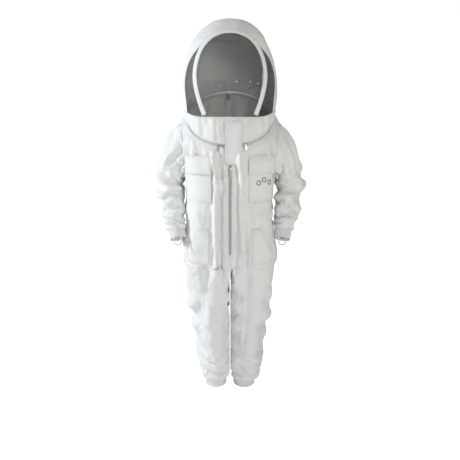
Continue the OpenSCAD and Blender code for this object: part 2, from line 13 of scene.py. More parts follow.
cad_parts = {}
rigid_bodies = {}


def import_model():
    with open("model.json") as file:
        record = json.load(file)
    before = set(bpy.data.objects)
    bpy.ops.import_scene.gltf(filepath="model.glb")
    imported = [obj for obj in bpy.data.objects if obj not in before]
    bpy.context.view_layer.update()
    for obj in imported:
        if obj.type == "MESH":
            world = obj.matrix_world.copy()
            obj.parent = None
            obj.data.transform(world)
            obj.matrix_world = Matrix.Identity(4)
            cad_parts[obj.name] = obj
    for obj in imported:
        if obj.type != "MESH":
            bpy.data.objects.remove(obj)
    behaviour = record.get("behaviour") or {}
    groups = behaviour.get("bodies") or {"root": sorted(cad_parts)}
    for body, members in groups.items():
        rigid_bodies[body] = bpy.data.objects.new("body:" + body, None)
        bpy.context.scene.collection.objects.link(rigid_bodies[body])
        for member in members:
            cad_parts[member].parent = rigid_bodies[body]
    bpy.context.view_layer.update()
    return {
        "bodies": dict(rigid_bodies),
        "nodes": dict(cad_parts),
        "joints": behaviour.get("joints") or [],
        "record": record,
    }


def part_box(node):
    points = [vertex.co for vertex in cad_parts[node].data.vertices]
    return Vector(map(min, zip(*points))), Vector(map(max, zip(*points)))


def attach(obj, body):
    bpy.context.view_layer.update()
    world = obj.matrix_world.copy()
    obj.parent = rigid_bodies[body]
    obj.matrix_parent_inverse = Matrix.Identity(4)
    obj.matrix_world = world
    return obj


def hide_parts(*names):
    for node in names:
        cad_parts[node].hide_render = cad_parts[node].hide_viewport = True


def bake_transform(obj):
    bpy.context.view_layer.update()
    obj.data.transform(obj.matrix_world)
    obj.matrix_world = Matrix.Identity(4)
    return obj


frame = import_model()

MM = 0.001
CLOTH = 0.9 * MM        # thickness of the cotton
SIM_FRAMES = 36         # length of the cloth simulation
MAX_SHIFT = 22 * MM     # furthest that a cloth point may move in the simulation
SIDES = {1: "left", -1: "right"}

# ---------------------------------------------------------------- places taken from the frame

JOINTS = {j["name"]: j for j in frame["joints"]}
MOUNTS = {m["name"]: m for m in frame["record"]["mounts"]}


def cad(node):
    """Lowest and highest corner of a CAD node, as arrays."""
    low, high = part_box(node)
    return np.array(low), np.array(high)


HIP_Z = cad("front_panel_left")[0][2]
LEG_TOP_Z = cad("leg_front_left")[1][2]
HEM_Z = cad("hem_elastic_left")[1][2]
ANKLE_X = cad("hem_elastic_left")[0][0] / 2 + cad("hem_elastic_left")[1][0] / 2
ANKLE_R = MOUNTS["left_ankle"]["dims"]["r_mm"] * MM
WRIST_R = MOUNTS["left_wrist"]["dims"]["r_mm"] * MM
WRIST = np.array(MOUNTS["left_wrist"]["pos_m"])
WRIST_DIR = np.array(MOUNTS["left_wrist"]["axis"])
CUFF_LEN = MOUNTS["left_wrist"]["dims"]["length_mm"] * MM
NECK_AXIS = np.array(JOINTS["neck_slider_left_travel"]["axis"])
NECK_CENTRE = np.array(JOINTS["neck_slider_left_travel"]["pos_m"])
NECK_TILT = math.acos(NECK_AXIS[2])
TEETH_T = cad("main_zip_teeth_left")[1][1] - cad("main_zip_teeth_left")[0][1]
NECK_R = (cad("neck_zip_teeth")[1][0] - cad("neck_zip_teeth")[0][0] - TEETH_T) / 2
ZIP_LOW_Z = cad("main_zip_teeth_left")[0][2]


def unit(v):
    return v / np.linalg.norm(v)


def smooth(t):
    t = np.clip(t, 0, 1)
    return t * t * (3 - 2 * t)


def mirror(side):
    """Factors that take a point of the left half to a side, 1 or -1."""
    return np.array([side, 1, 1])


def facing(angle, tilt):
    """A direction round an axis that leans forward by tilt. Angle 0 is the front."""
    return np.array([math.sin(angle), -math.cos(angle) * math.cos(tilt), -math.cos(angle) * math.sin(tilt)])


def neck_point(angle, out=0.0, up=0.0):
    """A point by the round neck zip: angle in radians from the front, out from it, up its axis."""
    return NECK_CENTRE + facing(angle, NECK_TILT) * (NECK_R + out) + NECK_AXIS * up


NECK_FORWARD = unit(neck_point(0.0) - NECK_CENTRE)


def collar_point(p):
    """The place beside the neck zip's tape where the cloth that ends near p is sewn on."""
    off = p - NECK_CENTRE
    return neck_point(math.atan2(off[0], float(off @ NECK_FORWARD)), CLOTH + 1.3 * MM, -6.2 * MM)


# ---------------------------------------------------------------- probing the CAD solids


class Probe:
    """Some CAD nodes as one surface that rays can hit."""

    def __init__(self, *nodes):
        points, faces = [], []
        for node in nodes:
            mesh = frame["nodes"][node].data
            first = len(points)
            points += [v.co.copy() for v in mesh.vertices]
            faces += [[first + i for i in p.vertices] for p in mesh.polygons]
        self.points = np.array(points)
        self.tree = BVHTree.FromPolygons(points, faces)

    def outermost(self, origin, direction, reach=0.4):
        """Where a ray from the origin leaves these nodes for the last time, or None."""
        o, d = Vector(origin), Vector(direction)
        hit = self.tree.ray_cast(o + d * reach, -d, reach)[0]
        return None if hit is None else np.array(hit)

    def nearest(self, point):
        return np.array(self.tree.find_nearest(Vector(point))[0])

    def slice_centre(self, z, half=18 * MM):
        """Middle of the box round the points near a height."""
        near = self.points[np.abs(self.points[:, 2] - z) < half]
        return (near.min(0) + near.max(0)) / 2


def resample(line, count):
    """count + 1 points spread evenly along a polyline."""
    line = np.array(line)
    lengths = np.concatenate([[0], np.cumsum(np.linalg.norm(np.diff(line, axis=0), axis=1))])
    at = np.linspace(0, lengths[-1], count + 1)
    return np.stack([np.interp(at, lengths, line[:, k]) for k in range(3)], 1)


# ---------------------------------------------------------------- the coverall as one grid of cloth

FRONT_COLS = 26         # columns from the zip to the side seam
BACK_COLS = 22          # columns from the side seam to the middle of the back
CROTCH_COLS = 22        # columns along the inside of a leg
TORSO_ROWS = 54
LEG_ROWS = 54
SLEEVE_ROWS = 44
FAN_ROWS = 15           # sleeve rows that turn from the armhole to the upper arm


class Garment:
    """Points, quads and their panels. Each point has a rest position and a fold height for the simulation."""

    def __init__(self):
        self.points, self.rest, self.pins, self.quads, self.seeds = [], [], [], [], []
        self.grids = {}

    def add(self, point, rest, pin=0.0, seed=0.0):
        self.points.append(np.array(point, float))
        self.rest.append(np.array(rest, float))
        self.pins.append(pin)
        self.seeds.append(seed)
        return len(self.points) - 1

    def fill(self, name, rows):
        """Quads between rows of point indices, as one panel. Keeps the grid for later."""
        self.grids[name] = rows
        for a, b in zip(rows[:-1], rows[1:]):
            for i in range(len(a) - 1):
                quad = [a[i], a[i + 1], b[i + 1], b[i]]
                if len(set(quad)) >= 3:
                    self.quads.append(list(dict.fromkeys(quad)))


# The cloth's own size, as shares of the space that it hangs in.
GIRTH_GROWTH = 1.055
BODY_GROWTH = 1.05
LEG_GROWTH = 1.09
SLEEVE_GROWTH = 0.11


def grow_body(p):
    """Rest position of a body or leg point: the cloth is longer and wider than the space it hangs in."""
    above = max(p[2] - HIP_Z, 0)
    below = max(HIP_Z - p[2], 0)
    z = HIP_Z + above * BODY_GROWTH - below * LEG_GROWTH
    z -= 16 * MM * smooth((0.30 - p[2]) / 0.06) + 20 * MM * smooth((0.11 - p[2]) / 0.08)
    return np.array([p[0] * GIRTH_GROWTH, p[1] * GIRTH_GROWTH, z])


def torso_rows():
    """Rows of points of the left half of the body: (front polyline, back polyline, has armhole)."""
    probe = Probe("front_panel_left", "back_panel")
    bottom = HIP_Z + 1 * MM
    top = NECK_CENTRE + NECK_AXIS * -7.2 * MM
    rows = []
    for i in range(TORSO_ROWS + 1):
        v = i / TORSO_ROWS
        upper = smooth((v - 0.5) / 0.5)
        tilt = NECK_TILT * upper
        centre = np.array([0, top[1] * upper, bottom + (top[2] - bottom) * v])

        def ray(angle):
            return probe.outermost(centre, facing(angle, tilt), 0.3)

        def edge(hit, miss):
            """Last point that a ray finds between an angle that hits and one that doesn't."""
            for _ in range(9):
                mid = (hit + miss) / 2
                hit, miss = (mid, miss) if ray(mid) is not None else (hit, mid)
            return ray(hit)

        angles = np.radians(np.arange(0, 180.5, 1.5))
        found = [ray(a) for a in angles]
        side = len(angles) // 2
        first = next(k for k in range(side) if found[k] is not None)
        front_end = max(k for k in range(side) if found[k] is not None)
        back_start = min(k for k in range(side + 1, len(angles)) if found[k] is not None)
        front = [edge(angles[first], 0.0)] + found[first:front_end + 1]
        front.append(edge(angles[front_end], angles[side]))
        back = [edge(angles[back_start], angles[side])] + found[back_start:]
        hole = np.linalg.norm(front[-1] - back[0]) > 4 * MM
        rows.append((resample(front, FRONT_COLS), resample(back, BACK_COLS), hole))
    front, back, hole = rows[-1]
    rows[-1] = (*(np.array([collar_point(p) for p in line]) for line in (front, back)), hole)
    return rows


def leg_ring(probe, z):
    """Points round the left leg at height z: (outer columns, inner columns)."""
    centre = probe.slice_centre(z)
    centre = np.array([centre[0], centre[1], z])
    low = smooth((HIP_Z - z) / 0.12)
    start = math.radians(-32 - 8 * low)
    turn = math.radians(247 + 9 * low)

    def arc(a, b, count):
        hits = [probe.outermost(centre, facing(t, 0), 0.25) for t in np.linspace(a, b, 70)]
        return resample([h for h in hits if h is not None], count)

    outer = arc(start, start + turn, FRONT_COLS + BACK_COLS)
    inner = arc(start + turn, start + 2 * math.pi, CROTCH_COLS)
    return outer, inner


def sleeve_rings(loop):
    """Rings of the left sleeve from the armhole loop to the cuff, bottom point first, front point next."""
    probe = Probe("sleeve_left")
    count = len(loop)
    # Height of a slice through the sleeve, its lift, and the sleeve's direction there.
    stations = [(0.80, -5 * MM, (0.45, 0, -1)), (0.775, 0, (0.06, 0, -1)), (0.72, 0, (-0.06, -0.2, -1)),
                (0.66, 0, (-0.14, -0.34, -1))]
    keys = [(probe.slice_centre(z) + np.array([0, 0, lift]), unit(np.array(along)))
            for z, lift, along in stations]
    keys.append((WRIST - WRIST_DIR * (CUFF_LEN / 2 + 2.2 * MM), WRIST_DIR))

    def ring(centre, along):
        front = unit(np.array([0, -1.0, 0]) - along * np.dot([0, -1.0, 0], along))
        outer = unit(np.cross(front, along))
        outer = outer if outer[0] > 0 else -outer
        hits = []
        for t in np.linspace(-math.pi / 2, 3 * math.pi / 2, 121):
            hit = probe.outermost(centre, outer * math.sin(t) + front * math.cos(t), 0.11)
            hits.append(hit if hit is not None else hits[-1] if hits else centre)
        half = count // 2
        first = resample(hits[:61], half)
        second = resample(hits[60:], count - half)
        return np.concatenate([first[:-1], second[:-1]])

    upper = ring(*keys[0])
    rings = [np.array(loop)]
    around = np.arange(count) / count * 2 * math.pi - math.pi / 2
    lift = (np.sin(around) + 1) / 2
    for k in range(1, FAN_ROWS):
        t = k / FAN_ROWS
        h0, h1 = 2 * t**3 - 3 * t**2 + 1, 3 * t**2 - 2 * t**3
        g0, g1 = t**3 - 2 * t**2 + t, t**3 - t**2
        out = np.outer(0.02 + 0.12 * lift, [1, 0, -0.1])
        down = np.outer(0.03 + 0.13 * lift, keys[0][1])
        guess = h0 * rings[0] + h1 * upper + g0 * out + g1 * down
        rings.append(np.array([probe.nearest(p) for p in guess]))
    lower = SLEEVE_ROWS - FAN_ROWS
    path = resample(resample([key[0] for key in keys], 60), lower)
    stops = np.linspace(0, 1, len(keys))
    for k in range(lower + 1):
        t = k / lower
        along = unit(np.array([np.interp(t, stops, [key[1][c] for key in keys]) for c in range(3)]))
        inset = 1.5 * MM if k == lower else 0
        rings.append(ring(path[k] - along * inset, along))
    return rings


# ---------------------------------------------------------------- folds that the simulation starts from


def crease(t):
    """A triangle wave of period 1 with slightly rounded corners, from -1 to 1."""
    return 2 / math.pi * math.asin(0.985 * math.sin(2 * math.pi * t))


def peak(t):
    return math.exp(-abs(t) ** 1.5)


def roof(distance, half):
    """1 on a ridge line, falling straight to 0 at half on both sides of it."""
    return max(0.0, 1 - math.hypot(distance / half, 0.12))


# Ridge lines of the big flat folds. Each stop is a share of a sleeve's length or a height on a leg, and
# degrees round the limb, where 0 is the front and 90 the outside.
SLEEVE_RIDGE = {-1: [(0.1, 15), (0.34, 75), (0.48, -20), (0.62, 60), (0.76, -25), (0.95, 35)],
                1: [(0.1, 40), (0.3, -25), (0.46, 70), (0.6, -30), (0.78, 60), (0.95, -10)]}
LEG_RIDGE = {-1: [(0.05, -10), (0.13, -12), (0.2, 4), (0.33, 2), (0.38, -24), (0.5, -26)],
             1: [(0.05, 12), (0.12, 34), (0.16, 6), (0.25, 20), (0.31, 42), (0.4, 2), (0.5, 26)]}
RIDGE_H = 10 * MM
RIDGE_HALF = 42 * MM


def ridge_turn(line, place):
    return math.radians(float(np.interp(place, [p[0] for p in line], [p[1] for p in line])))


def ruffle(p, scale, seed):
    """Ridged noise with sharp crests, about -0.5 to 0.5. scale is in folds per metre along x, y and z."""
    at = Vector((p[0] * scale[0], p[1] * scale[1], p[2] * scale[2])) + Vector((seed, seed * 0.7, -seed))
    return 0.5 - abs(noise.noise(at)) * 2.2


def wander(z, rate, seed):
    return noise.noise(Vector((seed, 0, z * rate)))


def body_fold(p, side):
    """Fold height of the body: long folds beside the zip, soft upright ones elsewhere."""
    x, y, z = p
    seed = 3.0 if side > 0 else 8.0
    height = 7 * MM * ruffle(p, (13, 13, 3.5), seed)
    height += 4 * MM * ruffle(p, (9, 9, 16), seed + 5)
    if y < 0:
        ridge_x = (34 if side > 0 else 48) * MM + 9 * MM * wander(z, 11, seed)
        placket_x = 19 * MM
        half = 8 * MM
        below_neck = smooth((0.93 - z) / 0.08)
        height += below_neck * 10 * MM * peak((x - ridge_x) / half)
        height -= below_neck * 7 * MM * peak((x - ridge_x + 2 * half) / half)
        height += below_neck * 2.5 * MM * peak((x - placket_x) / (3 * MM))
        drag = crease((0.87 * z - 0.5 * x) / 0.085 + wander(z, 6, seed + 2))
        height += 3.5 * MM * drag * smooth((x - 0.06) / 0.05) * smooth((0.74 - z) / 0.05)
    return height


def leg_fold(p, side):
    """Fold height of a leg: a zigzag ridge down its front, creases at the knee, a stack at the ankle."""
    x, y, z = p
    seed = 13.0 if side > 0 else 21.0
    around = math.atan2(x - 0.064, -y)
    radius = 0.045 + 0.06 * min(z, 0.5)
    off = radius * (around - ridge_turn(LEG_RIDGE[side], z))
    knee = math.exp(-((z - 0.3) / 0.1) ** 2)
    stack = smooth((0.2 - z) / 0.08)
    bend = 0.35 * noise.noise(Vector((x * 9, y * 9, z * 7 + seed)))
    crossed = crease(z / 0.105 + 0.3 * math.sin(around + seed) + bend)
    crossed += 0.7 * crease(z / 0.083 - 0.36 * math.sin(around * 1.5 + seed) + bend)
    rings = crease(z / 0.046 + 0.5 * math.sin(around * 1.3 + seed) + 1.6 * bend)
    height = RIDGE_H * roof(off, RIDGE_HALF) * (1 - 0.4 * stack)
    height += 6 * MM * ruffle(p, (11, 11, 3.4), seed) * (1 - 0.6 * stack)
    height += 5.5 * MM * knee * crossed
    height += 6 * MM * stack * rings
    return height


def sleeve_fold(share, around, side):
    """Fold height of a sleeve at a share of its length: a zigzag ridge, creases that cross at the elbow."""
    seed = 2.0 if side > 0 else 6.0
    bend = 0.3 * noise.noise(Vector((math.sin(around) * 1.4, math.cos(around) * 1.4, share * 5 + seed)))
    radius = 0.062 - 0.026 * share
    off = radius * (around - ridge_turn(SLEEVE_RIDGE[side], share))
    elbow = math.exp(-((share - 0.58) / 0.26) ** 2)
    shoulder = math.exp(-((share - 0.14) / 0.14) ** 2)
    crossed = crease(share / 0.2 + 0.4 * math.sin(around + 0.6 + seed) + bend)
    crossed += 0.7 * crease(share / 0.16 - 0.44 * math.sin(around + seed) + bend)
    draped = crease(around / (2 * math.pi) * 9 + 1.5 * share + bend)
    low = smooth((share - 0.74) / 0.15)
    rings = crease(share / 0.09 + 0.5 * math.sin(around + seed) + bend)
    height = RIDGE_H * roof(off, RIDGE_HALF) * smooth((1 - share) / 0.12)
    return height + 5.5 * MM * elbow * crossed + 4.5 * MM * shoulder * draped + 3.5 * MM * low * rings


def skirt_fold(p):
    """Fold height of the hood's skirt: gathers that run up from the neck zip."""
    around = math.atan2(p[0], -p[1])
    bend = 0.5 * noise.noise(Vector((math.sin(around) * 4, math.cos(around) * 4, p[2] * 14)))
    slant = 9 * abs(p[0])
    return 3.4 * MM * crease(around * 3.4 + bend + slant) + 1.6 * MM * crease(around * 6.7 - 1.4 * bend)


def fill_sided(g, name, rows, side, turned=False):
    """A panel whose faces look outwards on both sides. turned is for rows that run the other way."""
    g.fill(name, rows if (side == 1) != turned else [r[::-1] for r in rows])


def add_body_half(g, rows, index, side, name):
    """The front panel and half of the back on one side. The spine's points are shared by both sides."""
    flip = mirror(side)

    def add_body(p, pin):
        return g.add(p * flip, grow_body(p) * flip, pin, body_fold(p, side))

    front_rows, back_rows = [], []
    for i, (front, back, hole) in enumerate(rows):
        top = smooth((i - (TORSO_ROWS - 3)) / 3)
        closed = 1 - smooth((front[0][2] - ZIP_LOW_Z) / (9 * MM))
        f, b = [], []
        for j, p in enumerate(front):
            pin = max(1.0 if j == 0 else 0.0, 0.5 if j == 1 else 0.0, top)
            if j == 0:
                p = p - np.array([p[0] * closed, 0, 0])
            if j == FRONT_COLS and not hole:
                p = (front[-1] + back[0]) / 2
            f.append(add_body(p, pin))
        for j, p in enumerate(back):
            if j == 0 and not hole:
                b.append(f[-1])
            elif j == BACK_COLS:
                if ("spine", i) not in index:
                    middle = p * mirror(0)
                    index["spine", i] = g.add(middle, grow_body(middle), top, body_fold(middle, 1))
                b.append(index["spine", i])
            else:
                b.append(add_body(p, top))
        front_rows.append(f)
        back_rows.append(b)
    fill_sided(g, "front_panel_" + name, front_rows, side)
    fill_sided(g, "back_panel_" + name, back_rows, side)
    index["front", side], index["back", side] = front_rows, back_rows


def add_crotch(g, index):
    """The seam from the middle of the back to the front, where the two front edges meet."""
    start = g.points[index["front", 1][0][0]]
    end = g.points[index["spine", 0]]
    crotch = [index["spine", 0]]
    for k in range(1, CROTCH_COLS + 1):
        t = k / CROTCH_COLS
        p = end * (1 - t) + start * t
        p = np.array([0, p[1], HIP_Z + 1 * MM - 14 * MM * math.sin(math.pi * t)])
        crotch.append(g.add(p, grow_body(p)))
    return crotch


def add_leg(g, rings, crotch, index, side, name):
    """One leg's panels, from the hip's row down. The inner parts hang from the crotch seam."""
    flip = mirror(side)
    waist = index["front", side][0] + index["back", side][0][1:]
    outer_rows, inner_rows = [waist], [crotch]
    for i, (outer, inner) in enumerate(rings):
        pin = smooth((i - (LEG_ROWS - 3)) / 2.0)
        near_top = smooth((i + 1) / 6)

        def add(p):
            seed = leg_fold(p, side) * near_top + body_fold(p, side) * (1 - near_top)
            return g.add(p * flip, grow_body(p) * flip, pin, seed)

        o = [add(p) for p in outer]
        n = [add(p) for p in inner[1:-1]]
        outer_rows.append(o)
        inner_rows.append([o[-1]] + n + [o[0]])
    middle = CROTCH_COLS // 2
    blocks = {"leg_front_": [r[:FRONT_COLS + 1] for r in outer_rows],
              "leg_back_": [r[FRONT_COLS:] for r in outer_rows],
              "leg_back_in_": [r[:middle + 1] for r in inner_rows],
              "leg_front_in_": [r[middle:] for r in inner_rows]}
    for label, block in blocks.items():
        fill_sided(g, label + name, block[::-1], side)


def armhole(rows, index, side):
    """Point numbers round an armhole: up its front edge and down its back edge."""
    holes = [i for i, row in enumerate(rows) if row[2]]
    f, b = index["front", side], index["back", side]
    up = [f[i][-1] for i in range(holes[0] - 1, holes[-1] + 2)]
    return up + [b[i][0] for i in holes[::-1]]


def add_sleeve(g, rings, loop, shift, side, name):
    """One sleeve, from its armhole loop to the cuff. Its rest shape is longer, and longest near the wrist."""
    flip = mirror(side)
    ids = [loop]
    extra = np.zeros(3)
    last = rings[0].mean(0)
    for i, ring in enumerate(rings[1:], 1):
        middle = ring.mean(0)
        share = i / SLEEVE_ROWS
        extra = extra + (middle - last) * (SLEEVE_GROWTH + 0.06 * smooth((share - 0.7) / 0.2))
        last = middle
        pin = smooth((i - (SLEEVE_ROWS - 2)) / 2.0)
        rest = middle + (ring - middle) * GIRTH_GROWTH + extra + shift
        turns = [2 * math.pi * k / len(ring) - math.pi / 2 for k in range(len(ring))]
        ids.append([g.add(p * flip, q * flip, pin, sleeve_fold(share, turn, side) * smooth(i / 5))
                    for p, q, turn in zip(ring, rest, turns)])
    fill_sided(g, "sleeve_" + name, [r + [r[0]] for r in ids], side, turned=True)


def build_garment():
    """The whole coverall as one cloth: body, legs and sleeves that share the points of their seams."""
    g = Garment()
    rows = torso_rows()
    index = {}
    for side, name in SIDES.items():
        add_body_half(g, rows, index, side, name)
    crotch = add_crotch(g, index)
    probe = Probe("leg_front_left", "leg_back_left")
    rings = [leg_ring(probe, z) for z in np.linspace(LEG_TOP_Z - 5 * MM, HEM_Z + 2.2 * MM, LEG_ROWS)]
    for side, name in SIDES.items():
        add_leg(g, rings, crotch, index, side, name)
    left_loop = [g.points[k] for k in armhole(rows, index, 1)]
    centre = np.mean(left_loop, 0)
    shift = grow_body(centre) - centre
    rings = sleeve_rings(left_loop)
    for side, name in SIDES.items():
        add_sleeve(g, rings, armhole(rows, index, side), shift, side, name)
    return g


def linked(name, data):
    """A new object in the scene."""
    obj = bpy.data.objects.new(name, data)
    bpy.context.scene.collection.objects.link(obj)
    return obj


def search_tree(points, numbers=None):
    """A tree that finds the points near a place. Each is known by its order, or by its given number."""
    tree = KDTree(len(points))
    for i, p in enumerate(points):
        tree.insert(p, i if numbers is None else numbers[i])
    tree.balance()
    return tree


def mesh_object(name, points, faces):
    mesh = bpy.data.meshes.new(name)
    mesh.from_pydata([tuple(p) for p in points], [], [tuple(f) for f in faces])
    mesh.update()
    return linked(name, mesh)


# ---------------------------------------------------------------- simulation


def vertex_normals(points, faces):
    """Unit normals, as the area-weighted mean of the faces round each point."""
    normals = np.zeros_like(points)
    tris = np.array([(f[0], f[i], f[i + 1]) for f in faces for i in range(1, len(f) - 1)])
    a, b, c = points[tris[:, 0]], points[tris[:, 1]], points[tris[:, 2]]
    areas = np.cross(b - a, c - a)
    for k in range(3):
        np.add.at(normals, tris[:, k], areas)
    return normals / np.maximum(np.linalg.norm(normals, axis=1, keepdims=True), 1e-12)


COTTON = {
    "quality": 5, "mass": 0.12, "air_damping": 2.0,
    "tension_stiffness": 30.0, "compression_stiffness": 30.0, "tension_damping": 4.0,
    "compression_damping": 4.0, "shear_stiffness": 10.0, "shear_damping": 3.0,
    "bending_stiffness": 0.25, "bending_damping": 0.5,
    "vertex_group_mass": "pin", "pin_stiffness": 1.0,
    "use_pressure": True, "uniform_pressure_force": 0.15,
}
GRAVITY = 0.16          # share of full weight, since the wearer's body holds most of the suit up


def cloth_object(name, points, faces, pins, rest):
    """A cloth that starts at points, wants to be as large as rest, and is held where its pin is 1."""
    obj = mesh_object(name, points, faces)
    group = obj.vertex_groups.new(name="pin")
    for i, w in enumerate(pins):
        group.add([i], float(w), "REPLACE")
    obj.shape_key_add(name="Basis")
    key = obj.shape_key_add(name="Rest")
    key.data.foreach_set("co", np.array(rest, float).ravel())
    key.value = 0.0
    cloth = obj.modifiers.new("Cloth", "CLOTH")
    for name, value in COTTON.items():
        setattr(cloth.settings, name, value)
    cloth.settings.rest_shape_key = key
    cloth.settings.effector_weights.gravity = GRAVITY
    cloth.collision_settings.use_collision = False
    cloth.collision_settings.use_self_collision = False
    cloth.point_cache.frame_start = 1
    cloth.point_cache.frame_end = SIM_FRAMES + 1
    return obj


def run_cloth(objs):
    """Steps all the cloth together, returns each object's final points and removes the objects."""
    scene = bpy.context.scene
    scene.frame_start, scene.frame_end = 1, SIM_FRAMES
    for f in range(1, SIM_FRAMES + 1):
        scene.frame_set(f)
    graph = bpy.context.evaluated_depsgraph_get()
    results = []
    for obj in objs:
        mesh = obj.evaluated_get(graph).to_mesh()
        co = np.zeros(len(mesh.vertices) * 3)
        mesh.vertices.foreach_get("co", co)
        results.append(co.reshape(-1, 3))
    scene.frame_set(1)
    for obj in objs:
        bpy.data.objects.remove(obj)
    return results


def capped(before, after, limit):
    """Moves from before to after, with long moves bent back smoothly under the limit."""
    move = after - before
    size = np.maximum(np.linalg.norm(move, axis=1, keepdims=True), 1e-9)
    return before + move / size * limit * np.tanh(size / limit)


def softened(values, faces, turns):
    """Values at the points, averaged with their neighbours again and again."""
    edges = np.array([(f[i - 1], f[i]) for f in faces for i in range(len(f))])
    count = np.zeros(len(values))
    np.add.at(count, edges[:, 0], 1)
    np.add.at(count, edges[:, 1], 1)
    values = values.copy()
    for _ in range(turns):
        total = np.zeros_like(values)
        np.add.at(total, edges[:, 0], values[edges[:, 1]])
        np.add.at(total, edges[:, 1], values[edges[:, 0]])
        values = values * 0.4 + 0.6 * total / np.maximum(count, 1)[:, None]
    return values


# ---------------------------------------------------------------- cloth sheets as pieces


def grid_faces(rows, cols, closed=False):
    """Quads of a grid of points that are numbered row by row. A closed grid wraps round its columns."""
    last = cols if closed else cols - 1
    faces = []
    for j in range(rows - 1):
        for i in range(last):
            k = (i + 1) % cols
            faces.append((j * cols + i, j * cols + k, (j + 1) * cols + k, (j + 1) * cols + i))
    return faces


def finer(grid, closed=False):
    """A grid of points with one more point between every two, on a smooth curve through them."""

    def halved(g, wrap):
        if wrap:
            p = np.concatenate([g[-1:], g, g[:2]])
        else:
            p = np.concatenate([2 * g[:1] - g[1:2], g, 2 * g[-1:] - g[-2:-1]])
        mid = (-p[:-3] + 9 * p[1:-2] + 9 * p[2:-1] - p[3:]) / 16
        out = np.zeros((len(g) + len(mid),) + g.shape[1:])
        out[0::2] = g
        out[1::2] = mid
        return out

    grid = halved(grid, False)
    return halved(grid.swapaxes(0, 1), closed).swapaxes(0, 1)


def boundary_loops(faces):
    """Open edges of a sheet, chained into loops of point numbers."""
    edges = set()
    for f in faces:
        for i in range(len(f)):
            edges.add((f[i - 1], f[i]))
    following = {a: b for a, b in edges if (b, a) not in edges}
    loops = []
    while following:
        first, at = following.popitem()
        loop = [first]
        while at != first and at in following:
            loop.append(at)
            at = following.pop(at)
        loops.append(loop)
    return loops


def seam_fields(points, faces, joined_z=None):
    """For each point: its distance from the nearest seam, and how far along that seam it is.

    Seams are the open edges, except a level edge at joined_z, where the cloth goes on in another piece."""
    marks, runs = [], []
    for loop in sorted(boundary_loops(faces), key=min):
        turn = loop.index(min(loop))
        line = points[loop[turn:] + loop[:turn] + [min(loop)]]
        steps = np.linalg.norm(np.diff(line, axis=0), axis=1)
        count = max(int(steps.sum() / (1.5 * MM)), 4)
        marks.append(resample(line, count))
        runs.append(np.linspace(0, steps.sum(), count + 1))
    marks, runs = np.concatenate(marks), np.concatenate(runs)
    if joined_z is not None:
        kept = np.abs(marks[:, 2] - joined_z) > 8 * MM
        marks, runs = marks[kept], runs[kept]
    tree = search_tree(marks)
    found = [tree.find(p) for p in points]
    return np.array([f[2] for f in found]), runs[[f[1] for f in found]]


def cad_bmesh(node, gap=0.02 * MM):
    """A CAD node's mesh, with points that are closer than gap joined."""
    bm = bmesh.new()
    bm.from_mesh(frame["nodes"][node].data)
    bmesh.ops.remove_doubles(bm, verts=bm.verts, dist=gap)
    return bm


def from_bmesh(bm, name):
    mesh = bpy.data.meshes.new(name)
    bm.to_mesh(mesh)
    bm.free()
    return linked(name, mesh)


WALL_LIMIT = 2.6 * MM   # a face with nothing this close behind it is a rim, not a side of a sheet


def skin(node, away, levels=2):
    """The outer face of a thin CAD solid as points and quads. away gives the outward direction at a point."""
    bm = cad_bmesh(node)
    tree = BVHTree.FromBMesh(bm)
    drop = []
    for f in bm.faces:
        c = f.calc_center_median()
        hit = tree.ray_cast(c - f.normal * 0.05 * MM, -f.normal, 4 * MM)[0]
        if hit is None or (hit - c).length > WALL_LIMIT or f.normal.dot(Vector(away(c))) < 0:
            drop.append(f)
    bmesh.ops.delete(bm, geom=drop, context="FACES")
    bmesh.ops.join_triangles(bm, faces=bm.faces, angle_face_threshold=0.9, angle_shape_threshold=0.9)
    obj = from_bmesh(bm, node + "_skin")
    smoothing = obj.modifiers.new("Subsurf", "SUBSURF")
    smoothing.levels = levels
    smoothing.boundary_smooth = "PRESERVE_CORNERS"
    graph = bpy.context.evaluated_depsgraph_get()
    done = obj.evaluated_get(graph).to_mesh()
    points = np.array([v.co for v in done.vertices])
    faces = [tuple(p.vertices) for p in done.polygons]
    bpy.data.objects.remove(obj)
    return points, faces


def grown(points, faces, amount):
    """Moves a sheet's open edges outwards in its own surface, to close the gap of a seam."""
    points = points.copy()
    normals = vertex_normals(points, faces)
    for loop in boundary_loops(faces):
        line = points[loop].copy()
        along = np.roll(line, -1, axis=0) - np.roll(line, 1, axis=0)
        out = np.cross(along, normals[loop])
        points[loop] = line + amount * out / np.maximum(np.linalg.norm(out, axis=1, keepdims=True), 1e-9)
    return points


HOOD_MIDDLE_Z = 1.12


def from_hood(c):
    return (c[0], c[1], c[2] - HOOD_MIDDLE_Z)


def from_front(c):
    return (0, -1, 0)


def from_trunk(c):
    return (c[0], c[1], 0)


def body_name(node):
    parent = frame["nodes"][node].parent
    return next(name for name, empty in frame["bodies"].items() if empty is parent)


def finish_piece(obj, nodes, slot, material, sharp=50):
    mesh = obj.data
    mesh.polygons.foreach_set("use_smooth", [True] * len(mesh.polygons))
    mesh.set_sharp_from_angle(angle=math.radians(sharp))
    mesh.materials.clear()
    mesh.materials.append(material)
    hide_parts(*nodes)
    return obj


def shared_normals(sheets):
    """Normals of several sheets of (points, faces), made equal where their edges meet."""
    normals = [vertex_normals(points, faces) for points, faces in sheets]
    edge = [(s, k) for s, (_, faces) in enumerate(sheets) for loop in boundary_loops(faces) for k in loop]
    tree = search_tree([sheets[s][0][k] for s, k in edge])
    means = []
    for s, k in edge:
        near = [edge[found[1]] for found in tree.find_range(sheets[s][0][k], 0.5 * MM)]
        means.append(unit(sum(normals[other][m] for other, m in near)))
    for (s, k), mean in zip(edge, means):
        normals[s][k] = mean
    return normals


